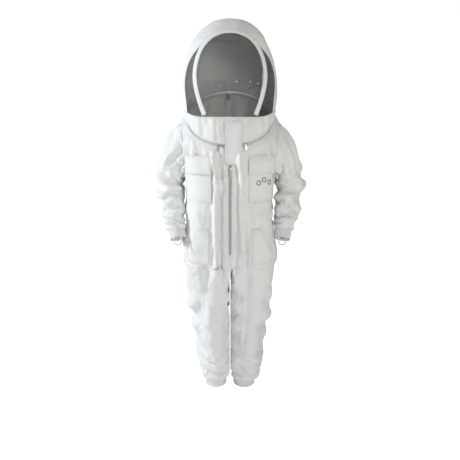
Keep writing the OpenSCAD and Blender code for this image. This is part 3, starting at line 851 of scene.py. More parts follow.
def shell(name, points, faces, thick, nodes, slot, material, fields, normals=None):
    """A closed cloth piece: the sheet, its copy one thickness further in, and a rim between them."""
    if normals is None:
        normals = vertex_normals(points, faces)
    n = len(points)
    both = np.concatenate([points, points - normals * thick])
    rim = []
    for loop in boundary_loops(faces):
        for i in range(len(loop)):
            a, b = loop[i - 1], loop[i]
            rim.append((b, a, a + n, b + n))
    back = [tuple(i + n for i in f[::-1]) for f in faces]
    obj = mesh_object(name, both, list(faces) + back + rim)
    for label, values in fields.items():
        attribute = obj.data.attributes.new(label, "FLOAT", "POINT")
        attribute.data.foreach_set("value", np.concatenate([values, values]).astype(np.float32))
    return finish_piece(obj, nodes, slot, material)


def cloth_piece(name, points, faces, nodes, slot, material, thick=CLOTH, shape=None, extra=None):
    """A sheet with its seam fields, pushed along its normals by shape(points, seam, run), as a shell."""
    seam, run = seam_fields(points, faces)
    if shape is not None:
        points = points + vertex_normals(points, faces) * shape(points, seam, run)[:, None]
    fields = {"seam": seam, "run": run}
    fields.update(extra or {})
    return shell(name, points, faces, thick, nodes, slot, material, fields)


def refined(node, slot, material, bevel=0.3 * MM, moved=None):
    """A copy of a small CAD solid with rounded edges, as a new piece on the same body."""
    bm = cad_bmesh(node, 0.01 * MM)
    bmesh.ops.dissolve_limit(bm, angle_limit=math.radians(3), verts=bm.verts, edges=bm.edges)
    corners = [e for e in bm.edges if len(e.link_faces) == 2 and e.calc_face_angle(0) > math.radians(35)]
    bmesh.ops.bevel(bm, geom=corners, offset=bevel, segments=2, profile=0.7, affect="EDGES",
                    clamp_overlap=True)
    bmesh.ops.triangulate(bm, faces=[f for f in bm.faces if len(f.verts) > 4])
    obj = from_bmesh(bm, node + "_piece")
    if moved is not None:
        for v in obj.data.vertices:
            v.co.y += moved(v.co.x, v.co.z)
    finish_piece(obj, [node], slot, material, sharp=40)
    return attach(obj, body_name(node))


def wrinkles(points, seam, run, fine=1.1 * MM, groove=0.8 * MM, pucker=0.4 * MM):
    """Small creases, cloth that rises beside each seam, and puckers where the thread pulls."""
    small = np.array([ruffle(p, (38, 38, 26), 4.0) + 0.5 * ruffle(p, (75, 75, 60), 9.0) for p in points])
    wave = np.array([noise.noise(Vector(p) * 60) for p in points])
    pull = np.sin(run * 2 * math.pi / (11 * MM) + 5 * wave) * np.exp(-seam / (7 * MM))
    return (fine * small * smooth(seam / (14 * MM)) + groove * (1 - np.exp(-(seam / (2.6 * MM)) ** 2))
            + pucker * pull * smooth(seam / (3 * MM)))


def crisp(points, seam, height, scale, seed):
    """Sharp-crested creases between the seams, as high as height and with scale folds per metre."""
    crests = np.array([ruffle(p, scale, seed) for p in points])
    return height * crests * smooth(seam / (16 * MM))


# ---------------------------------------------------------------- materials


def add_node(tree, kind, inputs=None, **settings):
    n = tree.nodes.new("ShaderNode" + kind)
    for key, value in settings.items():
        setattr(n, key, value)
    for key, value in (inputs or {}).items():
        if isinstance(value, bpy.types.NodeSocket):
            tree.links.new(value, n.inputs[key])
        else:
            n.inputs[key].default_value = value
    return n


def maths(tree, operation, a, b=0.0, c=0.0):
    return add_node(tree, "Math", {0: a, 1: b, 2: c}, operation=operation).outputs[0]


def ramp(tree, value, low, high, start=0.0, end=1.0):
    """Maps value from low..high to start..end smoothly."""
    return add_node(tree, "MapRange", {"Value": value, "From Min": low, "From Max": high, "To Min": start,
                                       "To Max": end}, interpolation_type="SMOOTHSTEP").outputs["Result"]


def blend_colours(tree, share, a, b):
    mix = add_node(tree, "Mix", {0: share, 6: a, 7: b}, data_type="RGBA")
    return mix.outputs[2]


def rgb(red, green=None, blue=None):
    """A colour for a node. One value alone makes a grey."""
    return (red, red, red, 1) if green is None else (red, green, blue, 1)


def new_material(name):
    mat = bpy.data.materials.new(name)
    mat.use_nodes = True
    tree = mat.node_tree
    return mat, tree, tree.nodes["Principled BSDF"], add_node(tree, "TexCoord").outputs["Object"]


def noise_at(tree, place, scale, detail=3.0):
    return add_node(tree, "TexNoise", {"Vector": place, "Scale": scale, "Detail": detail}).outputs["Fac"]


def bump(tree, height, depth, before=None):
    inputs = {"Height": height, "Distance": depth, "Strength": 1.0}
    if before is not None:
        inputs["Normal"] = before
    return add_node(tree, "Bump", inputs).outputs["Normal"]


def coat(tree, bsdf, place, colour, normal, patches, smoothest, roughest):
    """Gives a material its colour, its normal, and a roughness that varies in patches."""
    tree.links.new(colour, bsdf.inputs["Base Color"])
    tree.links.new(normal, bsdf.inputs["Normal"])
    rough = ramp(tree, noise_at(tree, place, patches), 0.3, 0.7, smoothest, roughest)
    tree.links.new(rough, bsdf.inputs["Roughness"])


def field_of(tree, name):
    """A value that the mesh holds at its points."""
    return add_node(tree, "Attribute", attribute_name=name).outputs["Fac"]


def weave(tree, place, pitch):
    """Height of a plain weave: two crossed sets of threads, pitch apart."""
    scale = 2 * math.pi / (20 * pitch)
    look = {"Vector": place, "Scale": scale, "Distortion": 0.6, "Detail": 1.0}
    waves = [add_node(tree, "TexWave", look, bands_direction=way).outputs["Fac"] for way in "XZ"]
    return maths(tree, "MAXIMUM", waves[0], waves[1])


def from_line(tree, field, offset):
    """Distance from the line that runs an offset away from where a mesh field is 0."""
    return maths(tree, "ABSOLUTE", maths(tree, "SUBTRACT", field_of(tree, field), offset))


def threads(tree, field, offsets, half=0.45 * MM, stitch=3.2 * MM):
    """1 on the stitches that run offsets away from where a mesh field is 0."""
    along = maths(tree, "PINGPONG", field_of(tree, "run"), stitch / 2)
    dash = ramp(tree, along, 0.12 * stitch, 0.2 * stitch)
    total = None
    for offset in offsets:
        near = ramp(tree, from_line(tree, field, offset), half * 0.5, half * 1.3, 1.0, 0.0)
        line = maths(tree, "MULTIPLY", near, dash)
        total = line if total is None else maths(tree, "MAXIMUM", total, line)
    return total


def cotton_material(name, lines=(), field="seam", tone=1.0):
    """Matt white poly-cotton: plain weave, small crumples, faint yellowing, rows of stitches, and painted
    shade along seams, open edges and beside the stitch rows.
    """
    mat, tree, bsdf, place = new_material(name)
    cool, warm = rgb(0.78 * tone, 0.80 * tone, 0.825 * tone), rgb(0.83 * tone, 0.83 * tone, 0.82 * tone)
    # seam_shade and stitch_shade are painted shade colours, not colours of the cloth.
    seam_shade, stitch_shade = rgb(0.50, 0.51, 0.53), rgb(0.42, 0.43, 0.45)
    colour = blend_colours(tree, noise_at(tree, place, 7.0), cool, warm)
    # Painted shade: the colour darkens within 2.2 mm of every seam and open edge, as if the seam's groove and
    # the edge's rim were in shade.
    edge = ramp(tree, field_of(tree, "seam"), 0.0, 2.2 * MM, 0.45, 0.0)
    colour = blend_colours(tree, edge, colour, seam_shade)
    normal = bump(tree, noise_at(tree, place, 95.0, 5.0), 0.9 * MM)
    normal = bump(tree, weave(tree, place, 0.6 * MM), 0.08 * MM, normal)
    if lines:
        thread = threads(tree, field, lines)
        colour = blend_colours(tree, thread, colour, rgb(0.88))
        for offset in lines:
            # Painted shade: a darker band beside each stitch row, where the cloth dips.
            stitch_dent_shade = ramp(tree, from_line(tree, field, offset), 0.3 * MM, 1.8 * MM, 0.16, 0.0)
            colour = blend_colours(tree, stitch_dent_shade, colour, stitch_shade)
        normal = bump(tree, thread, 0.35 * MM, normal)
    coat(tree, bsdf, place, colour, normal, 30.0, 0.78, 0.92)
    bsdf.inputs["Sheen Weight"].default_value = 0.12
    bsdf.inputs["Specular IOR Level"].default_value = 0.25
    return mat


def elastic_material(name):
    """Knitted elastic: fine ribs across the band."""
    mat, tree, bsdf, place = new_material(name)
    colour = blend_colours(tree, noise_at(tree, place, 40.0), rgb(0.76, 0.77, 0.79), rgb(0.84))
    normal = bump(tree, weave(tree, place, 1.1 * MM), 0.25 * MM)
    normal = bump(tree, noise_at(tree, place, 160.0), 0.3 * MM, normal)
    coat(tree, bsdf, place, colour, normal, 60.0, 0.7, 0.9)
    return mat


def net_material(name, across, pitch, wire, black):
    """Open netting: two crossed sets of threads with holes between them. It is seen along the axis across."""
    mat, tree, bsdf, place = new_material(name)
    split = add_node(tree, "SeparateXYZ", {"Vector": place})
    covered = None
    for axis in "XYZ".replace(across, ""):
        step = maths(tree, "PINGPONG", split.outputs[axis], pitch / 2)
        line = ramp(tree, step, wire * 0.35, wire * 0.65, 1.0, 0.0)
        covered = line if covered is None else maths(tree, "MAXIMUM", covered, line)
    colour = blend_colours(tree, noise_at(tree, place, 25.0), rgb(black),
                           rgb(black * 1.6, black * 1.6, black * 1.7))
    coat(tree, bsdf, place, colour, bump(tree, noise_at(tree, place, 700.0), 0.05 * MM), 50.0, 0.45, 0.65)
    clear = add_node(tree, "BsdfTransparent").outputs[0]
    mix = add_node(tree, "MixShader", {0: covered, 1: clear, 2: bsdf.outputs[0]})
    output = next(n for n in tree.nodes if n.type == "OUTPUT_MATERIAL")
    tree.links.new(mix.outputs[0], output.inputs["Surface"])
    return mat


def tape_material(name):
    """Woven zip tape."""
    mat, tree, bsdf, place = new_material(name)
    colour = blend_colours(tree, noise_at(tree, place, 50.0), rgb(0.78, 0.79, 0.80), rgb(0.84))
    coat(tree, bsdf, place, colour, bump(tree, weave(tree, place, 0.8 * MM), 0.2 * MM), 90.0, 0.7, 0.9)
    return mat


def plastic_material(name):
    """Moulded zip teeth, slightly worn to a gloss."""
    mat, tree, bsdf, place = new_material(name)
    colour = blend_colours(tree, noise_at(tree, place, 60.0), rgb(0.76, 0.77, 0.78), rgb(0.84))
    coat(tree, bsdf, place, colour, bump(tree, noise_at(tree, place, 900.0), 0.04 * MM), 120.0, 0.3, 0.5)
    return mat


def metal_material(name, light=0.72):
    """Brushed, slightly rubbed zinc or steel."""
    mat, tree, bsdf, place = new_material(name)
    colour = blend_colours(tree, noise_at(tree, place, 140.0), rgb(light * 0.86), rgb(light))
    brushed = add_node(tree, "Mapping", {"Vector": place, "Scale": (900, 900, 90)}).outputs[0]
    coat(tree, bsdf, place, colour, bump(tree, noise_at(tree, brushed, 1.0), 0.03 * MM), 220.0, 0.22, 0.42)
    bsdf.inputs["Metallic"].default_value = 1.0
    return mat


def hook_material(name):
    """Hook-and-loop tape: a dense pile of small loops."""
    mat, tree, bsdf, place = new_material(name)
    cells = add_node(tree, "TexVoronoi", {"Vector": place, "Scale": 900.0}).outputs["Distance"]
    colour = blend_colours(tree, cells, rgb(0.80, 0.80, 0.81), rgb(0.58, 0.58, 0.6))
    coat(tree, bsdf, place, colour, bump(tree, cells, 0.5 * MM), 90.0, 0.8, 0.98)
    return mat


def thread_material(name, dark, light):
    """Dense embroidery: slanting satin stitches."""
    mat, tree, bsdf, place = new_material(name)
    turned = add_node(tree, "Mapping", {"Vector": place, "Rotation": (0, 0.6, 0)}).outputs[0]
    satin = add_node(tree, "TexWave", {"Vector": turned, "Scale": 420.0, "Distortion": 1.5}).outputs["Fac"]
    colour = blend_colours(tree, satin, dark, light)
    coat(tree, bsdf, place, colour, bump(tree, satin, 0.3 * MM), 90.0, 0.4, 0.6)
    bsdf.inputs["Sheen Weight"].default_value = 0.3
    return mat


PANEL = cotton_material("cotton_panel", (5 * MM,))
EDGED = cotton_material("cotton_edged", (2.5 * MM, 8 * MM), tone=1.02)
PLAIN = cotton_material("cotton_plain")
FRONT = cotton_material("cotton_front", (5 * MM, 16 * MM))
BAND_ROWS = (16 * MM, 24 * MM, 34 * MM)     # stitch rows behind the front arch
BANDED = cotton_material("cotton_banded", BAND_ROWS, field="band")
ELASTIC = elastic_material("elastic")
NET_PITCH = 1.7 * MM
WINDOW = net_material("net_window", "Y", NET_PITCH, 0.22 * MM, 0.02)
SIDE_NET = net_material("net_side", "X", NET_PITCH, 0.24 * MM, 0.03)
TAPE = tape_material("zip_tape")
TEETH = plastic_material("zip_teeth")
METAL = metal_material("zip_metal")
HOOP = metal_material("hoop_wire", 0.5)
HOOKS = hook_material("hook_and_loop")
GREEN = thread_material("thread_green", rgb(0.01, 0.13, 0.05), rgb(0.04, 0.30, 0.13))
WHITE_THREAD = thread_material("thread_white", rgb(0.70, 0.71, 0.73), rgb(0.85, 0.85, 0.86))


# ---------------------------------------------------------------- the coverall

SEAM_CLOSE = 0.8 * MM
KEPT_FOLDS = 0.6        # share of the starting folds that is added again, since the cloth evens them out
LEVELLED = 0.75         # share of the cloth's slow drift away from its solid that is taken back
SKIRT_GROWTH = np.array([1.07, 1.07, 1.06])
SKIRT_SHIFT = 8 * MM    # furthest that a point of the hood's skirt may move
LOOSE_PIN = 0.004       # keeps the cloth from floating off as a whole
STORM_X = float(sum(corner[0] for corner in cad("storm_flap")) / 2)
garment = build_garment()
start = np.array(garment.points)
pins = np.clip(np.array(garment.pins), 0, 1)
seeds = np.array(garment.seeds) * (1 - pins)
folded = start + vertex_normals(start, garment.quads) * seeds[:, None]
skirt_points, skirt_faces = skin("hood_skirt", from_hood)
skirt_points = grown(skirt_points, skirt_faces, SEAM_CLOSE)
skirt_seam, _ = seam_fields(skirt_points, skirt_faces)
skirt_pins = 1 - smooth((skirt_seam - 3 * MM) / (5 * MM))
skirt_seeds = np.array([skirt_fold(p) for p in skirt_points]) * smooth(skirt_seam / (12 * MM))
skirt_folded = skirt_points + vertex_normals(skirt_points, skirt_faces) * skirt_seeds[:, None]
rng = np.random.default_rng(7)

rest = np.array(garment.rest) + rng.normal(0, 0.4 * MM, start.shape)
skirt_rest = skirt_points * SKIRT_GROWTH
coverall = cloth_object("garment", folded, garment.quads, np.maximum(pins, LOOSE_PIN), rest)
skirt_pins = np.maximum(skirt_pins, 0.01)
skirt_cloth = cloth_object("skirt", skirt_folded, skirt_faces, skirt_pins, skirt_rest)
hung, skirt_hung = run_cloth([coverall, skirt_cloth])
drift = softened(hung - folded, garment.quads, 50) * (1 - pins)[:, None]
kept = KEPT_FOLDS * (folded - start)
final = capped(start, hung - LEVELLED * drift + kept, MAX_SHIFT)
skirt_final = capped(skirt_points, skirt_hung, SKIRT_SHIFT)
# The skirt lies flat where the storm flap covers it.
under_flap = np.exp(-((skirt_points[:, :1] - STORM_X) / (36 * MM)) ** 4)
under_flap *= skirt_points[:, 1:2] < 0
skirt_final = skirt_points + (skirt_final - skirt_points) * (1 - 0.9 * under_flap)


def hide_join(obj, normals, height):
    """Shades the outer face at a level edge with normals shared with the next piece, to hide the seam."""
    mesh = obj.data
    corner = np.zeros(len(mesh.loops) * 3, np.float32)
    mesh.corner_normals.foreach_get("vector", corner)
    corner = corner.reshape(-1, 3)
    used = np.zeros(len(mesh.loops), np.int32)
    mesh.loops.foreach_get("vertex_index", used)
    outer = used < len(normals)
    near = np.zeros(len(used), bool)
    heights = np.array([mesh.vertices[int(k)].co.z for k in used[outer]])
    near[outer] = np.abs(heights - height) < 2.5 * MM
    corner[near] = normals[used[near]]
    mesh.normals_split_custom_set(corner.tolist())


def grid_of(name):
    return np.array(garment.grids[name])


def leg_grid(side_name, part):
    """Point numbers of a whole leg panel: its outer and its inner part side by side."""
    outer = grid_of("leg_%s_%s" % (part, side_name))
    inner = grid_of("leg_%s_in_%s" % (part, side_name))
    inner_first = (part == "front") == (side_name == "left")
    return np.concatenate([inner[:, :-1], outer] if inner_first else [outer, inner[:, 1:]], axis=1)


front_ids = sorted({int(k) for name in SIDES.values() for kind in ("front_panel_", "leg_front_")
                    for k in grid_of(kind + name).ravel()})
front_tree = search_tree([(start[k][0], 0, start[k][2]) for k in front_ids], front_ids)
DRAPE_REACH = 30 * MM


def drape(x, z):
    """How far the simulated front stands from the CAD front at a place, averaged over a hand's width."""
    near = front_tree.find_range((x, 0, z), DRAPE_REACH)
    weights = np.array([1.0001 - (n[2] / DRAPE_REACH) ** 2 for n in near])
    moves = np.array([final[n[1]][1] - start[n[1]][1] for n in near])
    return float((weights * moves).sum() / weights.sum())


CAD_FRONT = Probe("front_panel_left", "front_panel_right", "leg_front_left", "leg_front_right")
POCKETS = [cad(kind + name) for kind in ("chest_pocket_", "hip_pocket_") for name in SIDES.values()]


def behind_pockets(points):
    """Keeps the panels behind the pockets that are sewn on them."""
    points = points.copy()
    for low, high in POCKETS:
        inside = ((points[:, 0] > low[0]) & (points[:, 0] < high[0]) & (points[:, 1] < -0.03)
                  & (points[:, 2] > low[2]) & (points[:, 2] < high[2]))
        for k in np.flatnonzero(inside):
            x, y, z = points[k]
            wall = CAD_FRONT.outermost((x, 0, z), (0, -1, 0))
            if wall is not None:
                points[k][1] = max(y, wall[1] + drape(x, z) - 0.4 * MM)
    return points


WAIST_Z = (cad("back_waist_elastic")[0][2] + cad("back_waist_elastic")[1][2]) / 2
WAIST_HALF_X = cad("back_waist_elastic")[1][0]


def body_shape(points, seam, run):
    gathers = np.array([crease(x / (15 * MM) + 0.5 * wander(z, 30, 2)) for x, _, z in points])
    near = np.exp(-((points[:, 2] - WAIST_Z) / (26 * MM)) ** 2) * (points[:, 1] > 0.03)
    near = near * smooth((WAIST_HALF_X - np.abs(points[:, 0])) / (30 * MM))
    return (wrinkles(points, seam, run) + 2.4 * MM * gathers * near
            + crisp(points, seam, 2.2 * MM, (15, 15, 8), 51.0))


def leg_shape(points, seam, run):
    side = np.sign(points[:, 0].mean())
    around = np.arctan2(points[:, 0] - side * ANKLE_X, -points[:, 1])
    gathers = np.array([crease(a * 4.6 + 0.3 * wander(z, 40, 1)) for a, z in zip(around, points[:, 2])])
    near = np.exp(-(points[:, 2] - HEM_Z) / (22 * MM))
    return (wrinkles(points, seam, run) + 1.6 * MM * gathers * near
            + crisp(points, seam, 3.6 * MM, (13, 13, 11), 40.0 + 7 * side))


def wrist_frame(side):
    """The cuff's place, direction, and two directions across it, on one side."""
    flip = mirror(side)
    along = WRIST_DIR * flip
    across = unit(np.cross(along, (0, 1, 0)))
    return WRIST * flip, along, across, np.cross(along, across)


def sleeve_shape(points, seam, run):
    place, along, u, v = wrist_frame(np.sign(points[:, 0].mean()))
    off = points - place
    around = np.arctan2(off @ v, off @ u)
    gathers = np.array([crease(a * 3.5 + 0.3 * wander(z, 40, 1)) for a, z in zip(around, points[:, 2])])
    near = np.exp(-np.maximum(-(off @ along) - CUFF_LEN / 2, 0) / (20 * MM))
    return (wrinkles(points, seam, run) + 1.5 * MM * gathers * near
            + crisp(points, seam, 3.2 * MM, (15, 15, 15), 60.0))


def leg_rows(name):
    """Point numbers of each level ring of a leg, from the hem up."""
    return np.concatenate([leg_grid(name, "front"), leg_grid(name, "back")], axis=1)


LEG_GAP = 1.8 * MM      # of each leg's inside from the middle of the suit


def close_legs(points):
    """Draws the insides of the legs together down to just above the hems."""
    points = points.copy()
    for side, name in SIDES.items():
        for row in leg_rows(name):
            ids = np.unique(row)
            u = points[ids, 0] * side
            z = points[ids, 2].mean()
            pull = max(u.min() - LEG_GAP, 0) * smooth((z - HEM_Z - 12 * MM) / (50 * MM))
            points[ids, 0] -= side * pull * smooth((60 * MM - u) / (45 * MM))
    return points


final = close_legs(final)
sheets = []


def add_sheet(node, grid, shape, material, joined, closed=False):
    points = finer(final[grid], closed)
    faces = grid_faces(*points.shape[:2], closed=closed)
    sheets.append((node, points.reshape(-1, 3), faces, shape, material, joined))


back_grid = np.concatenate([grid_of("back_panel_left"), grid_of("back_panel_right")[:, 1:]], axis=1)
add_sheet("back_panel", back_grid, body_shape, PANEL, True)
for name in SIDES.values():
    add_sheet("front_panel_" + name, grid_of("front_panel_" + name), body_shape, FRONT, True)
    add_sheet("leg_front_" + name, leg_grid(name, "front"), leg_shape, PANEL, True)
    add_sheet("leg_back_" + name, leg_grid(name, "back"), leg_shape, PANEL, True)
    add_sheet("sleeve_" + name, grid_of("sleeve_" + name)[:, :-1], sleeve_shape, PANEL, False, closed=True)

shaped = []
for (node, points, faces, shape, material, joined), normals in zip(
        sheets, shared_normals([(sheet[1], sheet[2]) for sheet in sheets])):
    seam, run = seam_fields(points, faces, HIP_Z if joined else None)
    points = points + normals * shape(points, seam, run)[:, None]
    if node.startswith("leg"):
        side = 1 if node.endswith("left") else -1
        free = points[:, 2] < HIP_Z - 12 * MM
        points[free, 0] = side * np.maximum(points[free, 0] * side, 1.2 * MM)
    if "front" in node:
        points = behind_pockets(points)
    shaped.append((node, points, faces, material, joined, {"seam": seam, "run": run}))

for (node, points, faces, material, joined, fields), normals in zip(
        shaped, shared_normals([(sheet[1], sheet[2]) for sheet in shaped])):
    piece = shell(node + "_cloth", points, faces, CLOTH, [node], "cotton", material, fields, normals)
    if joined:
        hide_join(piece, normals, HIP_Z)
    name = node.split("_")[-1]
    if node.startswith("leg"):
        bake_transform(piece)
    elif node.startswith("sleeve"):
        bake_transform(piece)
    else:
        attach(piece, "suit")


# ---------------------------------------------------------------- what is sewn on the coverall


def draped(points):
    points = points.copy()
    points[:, 1] += [drape(x, z) for x, _, z in points]
    return points


def patch_shape(points, seam, run):
    """A stitched patch of cloth: pillowed a little inside its hem, with few creases."""
    return wrinkles(points, seam, run, fine=0.5 * MM, groove=0.5 * MM) + 0.5 * MM * smooth(seam / (14 * MM))


PATCH_BEVEL = 0.2 * MM


def blend_flap(piece, node):
    """Bakes a flap's placement into its mesh; it is not bent here."""
    low, high = cad(node)
    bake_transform(piece)


for name in SIDES.values():
    for kind in ("chest_pocket_", "hip_pocket_"):
        points, faces = skin(kind + name, from_front)
        piece = cloth_piece(kind + name + "_cloth", draped(points), faces, [kind + name], "cotton", EDGED,
                            shape=patch_shape)
        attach(piece, "suit")
    node = "chest_flap_" + name
    low, high = cad(node)
    points, faces = skin(node, from_front)
    below = (high[2] - points[:, 2]) / (high[2] - low[2])
    points[:, 1] += 5.5 * MM * (1 - smooth(below / 0.4))
    points[:, 1] -= 1.5 * MM * smooth((below - 0.6) / 0.4)
    piece = cloth_piece(node + "_cloth", draped(points), faces, [node], "cotton", EDGED, shape=patch_shape)
    blend_flap(piece, node)
    refined(node + "_hook_patch", "hook_and_loop", HOOKS, PATCH_BEVEL, drape)

refined("loop_patches", "hook_and_loop", HOOKS, PATCH_BEVEL)
refined("embroidered_badge", "thread", GREEN, PATCH_BEVEL, lambda x, z: drape(x, z) - 1.5 * MM)
refined("hip_pocket_bar_tacks", "thread", WHITE_THREAD, 0.25 * MM, lambda x, z: drape(x, z) - 1.1 * MM)
refined("hanger_loop", "cotton", PLAIN, 0.3 * MM)

points, faces = skin("back_waist_elastic", from_trunk)
piece = cloth_piece("back_waist_elastic_band", points, faces, ["back_waist_elastic"], "elastic", ELASTIC,
                    shape=lambda p, seam, run: 0.5 * MM * np.sin(p[:, 0] / (3 * MM)) - 1.5 * MM)
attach(piece, "suit")


def elastic_ring(name, node, centre, along, radius, length, gathers):
    """A gathered band round an opening: a closed tube wall with soft upright pleats."""
    across = unit(np.cross(along, (0, 1, 0)) if abs(along[1]) < 0.9 else np.cross(along, (1, 0, 0)))
    other = np.cross(along, across)
    columns, wall = 216, 1.9 * MM
    profile = [(-0.5, 0.0), (-0.46, 0.8), (-0.36, 1.0), (-0.2, 1.0), (0, 1.0), (0.2, 1.0), (0.36, 1.0),
               (0.46, 0.8), (0.5, 0.0), (0.46, -0.7), (0.2, -0.8), (-0.2, -0.8), (-0.46, -0.7)]
    points = []
    for k, (share, out) in enumerate(profile):
        for i in range(columns):
            turn = 2 * math.pi * i / columns
            bend = 0.4 * noise.noise(Vector((math.cos(turn) * 3, math.sin(turn) * 3, share * 2)))
            pleat = crease(turn * gathers / (2 * math.pi) + bend) * 0.8 * MM
            reach = radius + wall / 2 + out * wall / 2 + (pleat if out > -0.5 else pleat * 0.4)
            points.append(centre + along * share * length
                          + (across * math.cos(turn) + other * math.sin(turn)) * reach)
    rows = len(profile)
    # The profile closes on itself, so the rows past the last one are the first ones again.
    faces = [tuple(k % (rows * columns) for k in face) for face in grid_faces(rows + 1, columns, closed=True)]
    obj = mesh_object(name, points, faces)
    mesh_normals_outward(obj)
    finish_piece(obj, [node], "elastic", ELASTIC, sharp=70)
    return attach(obj, body_name(node))


def mesh_normals_outward(obj):
    bm = bmesh.new()
    bm.from_mesh(obj.data)
    bmesh.ops.recalc_face_normals(bm, faces=bm.faces)
    bm.to_mesh(obj.data)
    bm.free()


BAND_UNDER = 6 * MM     # how far the elastic bands reach under the cloth
for side, name in SIDES.items():
    place, along, _, _ = wrist_frame(side)
    elastic_ring("cuff_%s_band" % name, "cuff_" + name, place - along * BAND_UNDER / 2, along, WRIST_R,
                 CUFF_LEN + BAND_UNDER, 34)
    low, high = cad("hem_elastic_" + name)
    middle = (low + high) / 2
    middle[2] += BAND_UNDER / 2
    elastic_ring("hem_%s_band" % name, "hem_elastic_" + name, middle, np.array([0, 0, 1.0]), ANKLE_R,
                 high[2] - low[2] + BAND_UNDER, 44)
    refined("thumb_loop_" + name, "elastic", ELASTIC, 0.45 * MM)


# ---------------------------------------------------------------- zips


def tooth_template(wide, thick, tall):
    """Points and faces of one moulded tooth with rounded edges, centred on the origin."""
    bm = bmesh.new()
    bmesh.ops.create_cube(bm, size=1.0)
    for v in bm.verts:
        v.co = Vector((v.co.x * wide, v.co.y * thick, v.co.z * tall))
    bmesh.ops.bevel(bm, geom=list(bm.edges), offset=0.3 * MM, segments=1, affect="EDGES")
    bm.verts.ensure_lookup_table()
    points = np.array([v.co for v in bm.verts])
    faces = [tuple(v.index for v in f.verts) for f in bm.faces]
    bm.free()
    return points, faces


def scatter(template, frames):
    """Copies of a template in frames of (origin, x, y, z) as one set of points and faces."""
    shape, shape_faces = template
    points, faces = [], []
    for origin, x, y, z in frames:
        first = len(points) * len(shape)
        points.append(origin + shape @ np.array([x, y, z]))
        faces += [tuple(first + i for i in f) for f in shape_faces]
    return np.concatenate(points), faces


TOOTH_PITCH = 3.2 * MM
ZIP_X, ZIP_NORMAL, ZIP_UP = np.eye(3)
TEETH_LOW, TEETH_HIGH = cad("main_zip_teeth_left")
TEETH_MIDDLE = (TEETH_LOW + TEETH_HIGH) / 2
tooth = tooth_template(TEETH_HIGH[0] - TEETH_LOW[0], TEETH_T * 0.9, TOOTH_PITCH * 0.62)

for side, name in SIDES.items():
    frames = []
    for i in range(int((TEETH_HIGH[2] - TEETH_LOW[2] - TOOTH_PITCH) / TOOTH_PITCH)):
        z = TEETH_LOW[2] + TOOTH_PITCH * (i + 0.5 + 0.25 * side)
        frames.append((np.array([side * TEETH_MIDDLE[0], TEETH_MIDDLE[1], z]), ZIP_X, ZIP_NORMAL, ZIP_UP))
    points, faces = scatter(tooth, frames)
    obj = mesh_object("main_zip_teeth_%s_row" % name, points, faces)
    finish_piece(obj, ["main_zip_teeth_" + name], "zip_teeth", TEETH, sharp=30)
    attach(obj, "suit")
    low, high = cad("main_zip_tape_" + name)
    xs = np.linspace(low[0], high[0], 7)
    zs = np.linspace(low[2], high[2], 120)
    grid = np.array([[(x, low[1], z) for x in xs] for z in zs])
    piece = cloth_piece("main_zip_tape_%s_strip" % name, grid.reshape(-1, 3), grid_faces(len(zs), len(xs)),
                        ["main_zip_tape_" + name], "zip_tape", TAPE, thick=high[1] - low[1],
                        shape=lambda p, seam, run: 0.15 * MM * np.sin(run / (4 * MM)))
    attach(piece, "suit")


def neck_frame(angle, out, up):
    """Origin and axes at a place on the neck zip: up its axis, outwards, and along it."""
    side = neck_point(angle, 1.0) - neck_point(angle, 0.0)
    return neck_point(angle, out, up), NECK_AXIS, side, np.cross(NECK_AXIS, side)


TEETH_ON_NECK = int(2 * math.pi * NECK_R / TOOTH_PITCH)
TAPE_T = cad("main_zip_tape_left")[1][1] - cad("main_zip_tape_left")[0][1]
TAPE_INNER = cad("main_zip_tape_left")[0][0]
NECK_TAPE_H = 9 * MM
NECK_COLUMNS, NECK_ROWS = 288, 5

for side, label in ((-1, "neck_zip"), (1, "hood_zip")):
    teeth_node, tape_node = label + "_teeth", label + "_tape"
    frames = []
    for i in range(TEETH_ON_NECK):
        angle = 2 * math.pi * (i + 0.5 * (side > 0)) / TEETH_ON_NECK
        frames.append(neck_frame(angle, 0, side * TEETH_MIDDLE[0]))
    points, faces = scatter(tooth, frames)
    obj = mesh_object(teeth_node + "_row", points, faces)
    finish_piece(obj, [teeth_node], "zip_teeth", TEETH, sharp=30)
    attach(obj, body_name(teeth_node))
    ups = sorted(side * (TAPE_INNER + NECK_TAPE_H * k / (NECK_ROWS - 1)) for k in range(NECK_ROWS))
    turns = [2 * math.pi * i / NECK_COLUMNS for i in range(NECK_COLUMNS)]
    points = np.array([neck_point(turn, TAPE_T / 2, up) for up in ups for turn in turns])
    faces = grid_faces(NECK_ROWS, NECK_COLUMNS, closed=True)
    piece = cloth_piece(tape_node + "_strip", points, faces, [tape_node], "zip_tape", TAPE, thick=TAPE_T)
    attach(piece, body_name(tape_node))

for node in ("main_zip_stops", "main_zip_slider", "main_zip_pull", "neck_zip_slider_left",
             "neck_zip_pull_left", "neck_zip_slider_right", "neck_zip_pull_right"):
    refined(node, "zip_metal", METAL, 0.22 * MM)


# ---------------------------------------------------------------- hood

arch_points, arch_faces = skin("front_arch_binding", from_hood)
arch_seam, _ = seam_fields(arch_points, arch_faces)
arch_tree = search_tree(arch_points[arch_seam > 0.7 * arch_seam.max()])


def from_arch(points):
    """Distance of each point from the middle of the front arch's binding."""
    return np.array([arch_tree.find(p)[2] for p in points])


def binding_shape(points, seam, run):
    """A folded strip over a hoop: crowned across, with small puckers along its edges."""
    half = seam.max()
    crown = 1.6 * MM * (1 - (1 - seam / half) ** 2)
    wave = np.array([noise.noise(Vector(p) * 70) for p in points])
    return crown + 0.35 * MM * np.sin(run * 2 * math.pi / (8 * MM) + 4 * wave) * np.exp(-seam / (3 * MM))


def hood_piece(node, ending, sheet, slot, material, shape, thick=CLOTH, extra=None):
    """A sheet of (points, faces) that stands for a node of the hood and moves with it."""
    piece = cloth_piece(node + ending, *sheet, [node], slot, material, thick, shape, extra)
    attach(piece, "hood")


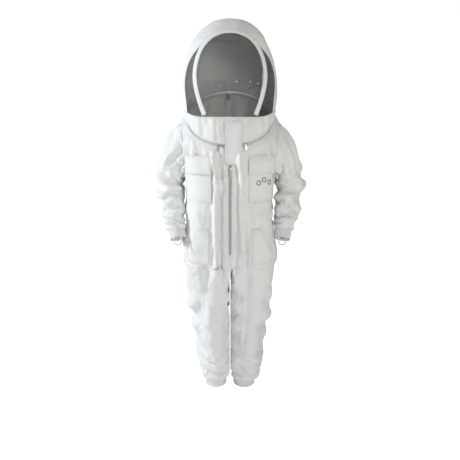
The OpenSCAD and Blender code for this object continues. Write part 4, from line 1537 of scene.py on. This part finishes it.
hood_piece("front_arch_binding", "_strip", (arch_points, arch_faces), "cotton",
           cotton_material("cotton_binding", (2 * MM,), tone=1.04), binding_shape)
for name in SIDES.values():
    node = "rear_binding_" + name
    hood_piece(node, "_strip", skin(node, from_hood), "cotton", EDGED,
               lambda p, seam, run: 0.8 * MM * smooth(seam / (4 * MM)))


def crown_shape(points, seam, run):
    """Drawn tight over the hoops, with rows of stitches behind the front arch."""
    band = from_arch(points)
    rows = sum(np.exp(-((band - d) / (1.8 * MM)) ** 2) for d in BAND_ROWS)
    return wrinkles(points, seam, run, fine=0.7 * MM, groove=0.6 * MM) - 0.7 * MM * rows


points, faces = skin("hood_crown", from_hood, levels=3)
points = grown(points, faces, SEAM_CLOSE)
hood_piece("hood_crown", "_cloth", (points, faces), "cotton", BANDED, crown_shape,
           extra={"band": from_arch(points)})


def hood_back_shape(points, seam, run):
    folds = np.array([ruffle(p, (11, 11, 5), 31.0) for p in points])
    return wrinkles(points, seam, run) + 3.5 * MM * folds * smooth(seam / (25 * MM))


points, faces = skin("hood_back", from_hood, levels=3)
points = grown(points, faces, SEAM_CLOSE + 0.5 * MM)
hood_piece("hood_back", "_cloth", (points, faces), "cotton", PANEL, hood_back_shape)
hood_piece("hood_skirt", "_cloth", (skirt_final, skirt_faces), "cotton", PANEL,
           lambda p, seam, run: wrinkles(p, seam, run, pucker=0.6 * MM))


def veil_shape(points, seam, run):
    """Netting that is drawn tight, slightly hollow between its seams."""
    wave = np.array([noise.noise(Vector(p) * 12) for p in points])
    return (0.8 * MM * wave - 1.5 * MM) * smooth(seam / (25 * MM))


NET_THICK = 0.35 * MM
for node, material in (("front_veil", WINDOW), ("side_veil_left", SIDE_NET), ("side_veil_right", SIDE_NET)):
    hood_piece(node, "_net", skin(node, from_hood), "net", material, veil_shape, NET_THICK)


def hoop(node):
    """A hoop's CAD wire, rounded."""
    bm = cad_bmesh(node)
    bmesh.ops.join_triangles(bm, faces=bm.faces, angle_face_threshold=0.6, angle_shape_threshold=3.0)
    obj = from_bmesh(bm, node + "_wire")
    finish_piece(obj, [node], "hoop_wire", HOOP, sharp=60)
    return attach(obj, "hood")


hoop("front_hoop")
hoop("rear_hoop")

# ---------------------------------------------------------------- flap over the zips


def storm_shape(points, seam, run):
    """Hangs almost flat and lifts a little towards its free lower corner."""
    low, high = cad("storm_flap")
    down = smooth((high[2] - 22 * MM - points[:, 2]) / (80 * MM))
    right = smooth((points[:, 0] - low[0]) / (high[0] - low[0]))
    wave = np.array([noise.noise(Vector(p) * 14) for p in points])
    return (wrinkles(points, seam, run, fine=0.5 * MM, groove=0.4 * MM)
            + down * (1.2 * MM + 1.6 * MM * right + 1.6 * MM * wave))


points, faces = skin("storm_flap", from_front, levels=3)
piece = cloth_piece("storm_flap_cloth", points, faces, ["storm_flap"], "cotton", EDGED, shape=storm_shape)
blend_flap(piece, "storm_flap")
refined("storm_flap_hook_patch", "hook_and_loop", HOOKS, PATCH_BEVEL)


# ---------------------------------------------------------------- floor, light and camera


FLOOR_GLOW = 0.8        # seen by the camera only, so that the floor meets the surroundings without a line


def studio_floor():
    mat, tree, bsdf, place = new_material("floor")
    tone = blend_colours(tree, noise_at(tree, place, 2.0), rgb(0.93), rgb(0.95))
    tree.links.new(tone, bsdf.inputs["Base Color"])
    bsdf.inputs["Roughness"].default_value = 0.95
    seen = add_node(tree, "LightPath").outputs["Is Camera Ray"]
    tree.links.new(maths(tree, "MULTIPLY", seen, FLOOR_GLOW), bsdf.inputs["Emission Strength"])
    bsdf.inputs["Emission Color"].default_value = rgb(1)
    half = 12.0
    floor = mesh_object("floor", [(-half, -half, 0), (half, -half, 0), (half, half, 0), (-half, half, 0)],
                        [(0, 1, 2, 3)])
    floor.data.materials.append(mat)


def studio_world(strength, seen):
    """White surroundings that light with one strength and are seen with another."""
    world = bpy.data.worlds.new("studio")
    bpy.context.scene.world = world
    world.use_nodes = True
    tree = world.node_tree
    background = tree.nodes["Background"]
    background.inputs["Color"].default_value = rgb(1)
    ray = add_node(tree, "LightPath").outputs["Is Camera Ray"]
    level = add_node(tree, "MapRange", {"Value": ray, "To Min": strength, "To Max": seen}).outputs["Result"]
    tree.links.new(level, background.inputs["Strength"])


def area_light(name, place, target, size, power, colour):
    light = bpy.data.lights.new(name, "AREA")
    light.size = size
    light.energy = power
    light.color = colour
    obj = linked(name, light)
    obj.location = place
    obj.rotation_euler = (Vector(target) - Vector(place)).to_track_quat("-Z", "Y").to_euler()


bpy.context.scene.view_settings.view_transform = "Standard"
studio_floor()
studio_world(strength=0.28, seen=1.02)
area_light("key", (-2.7, -0.25, 1.75), (0, 0, 0.8), size=0.25, power=64, colour=(0.90, 0.97, 1.0))
area_light("fill", (1.2, -3.0, 1.4), (0, 0, 0.7), size=1.0, power=38, colour=(1.0, 0.965, 0.87))

CAMERA_DOWN = math.radians(13.9)
cam = bpy.data.cameras.new("camera")
cam.lens = 36.6
cam.sensor_width = 36
camera = linked("camera", cam)
camera.location = (0, -1.61, 1.0)
camera.rotation_euler = (math.radians(90) - CAMERA_DOWN, 0, 0)
bpy.context.scene.camera = camera
bpy.context.view_layer.update()
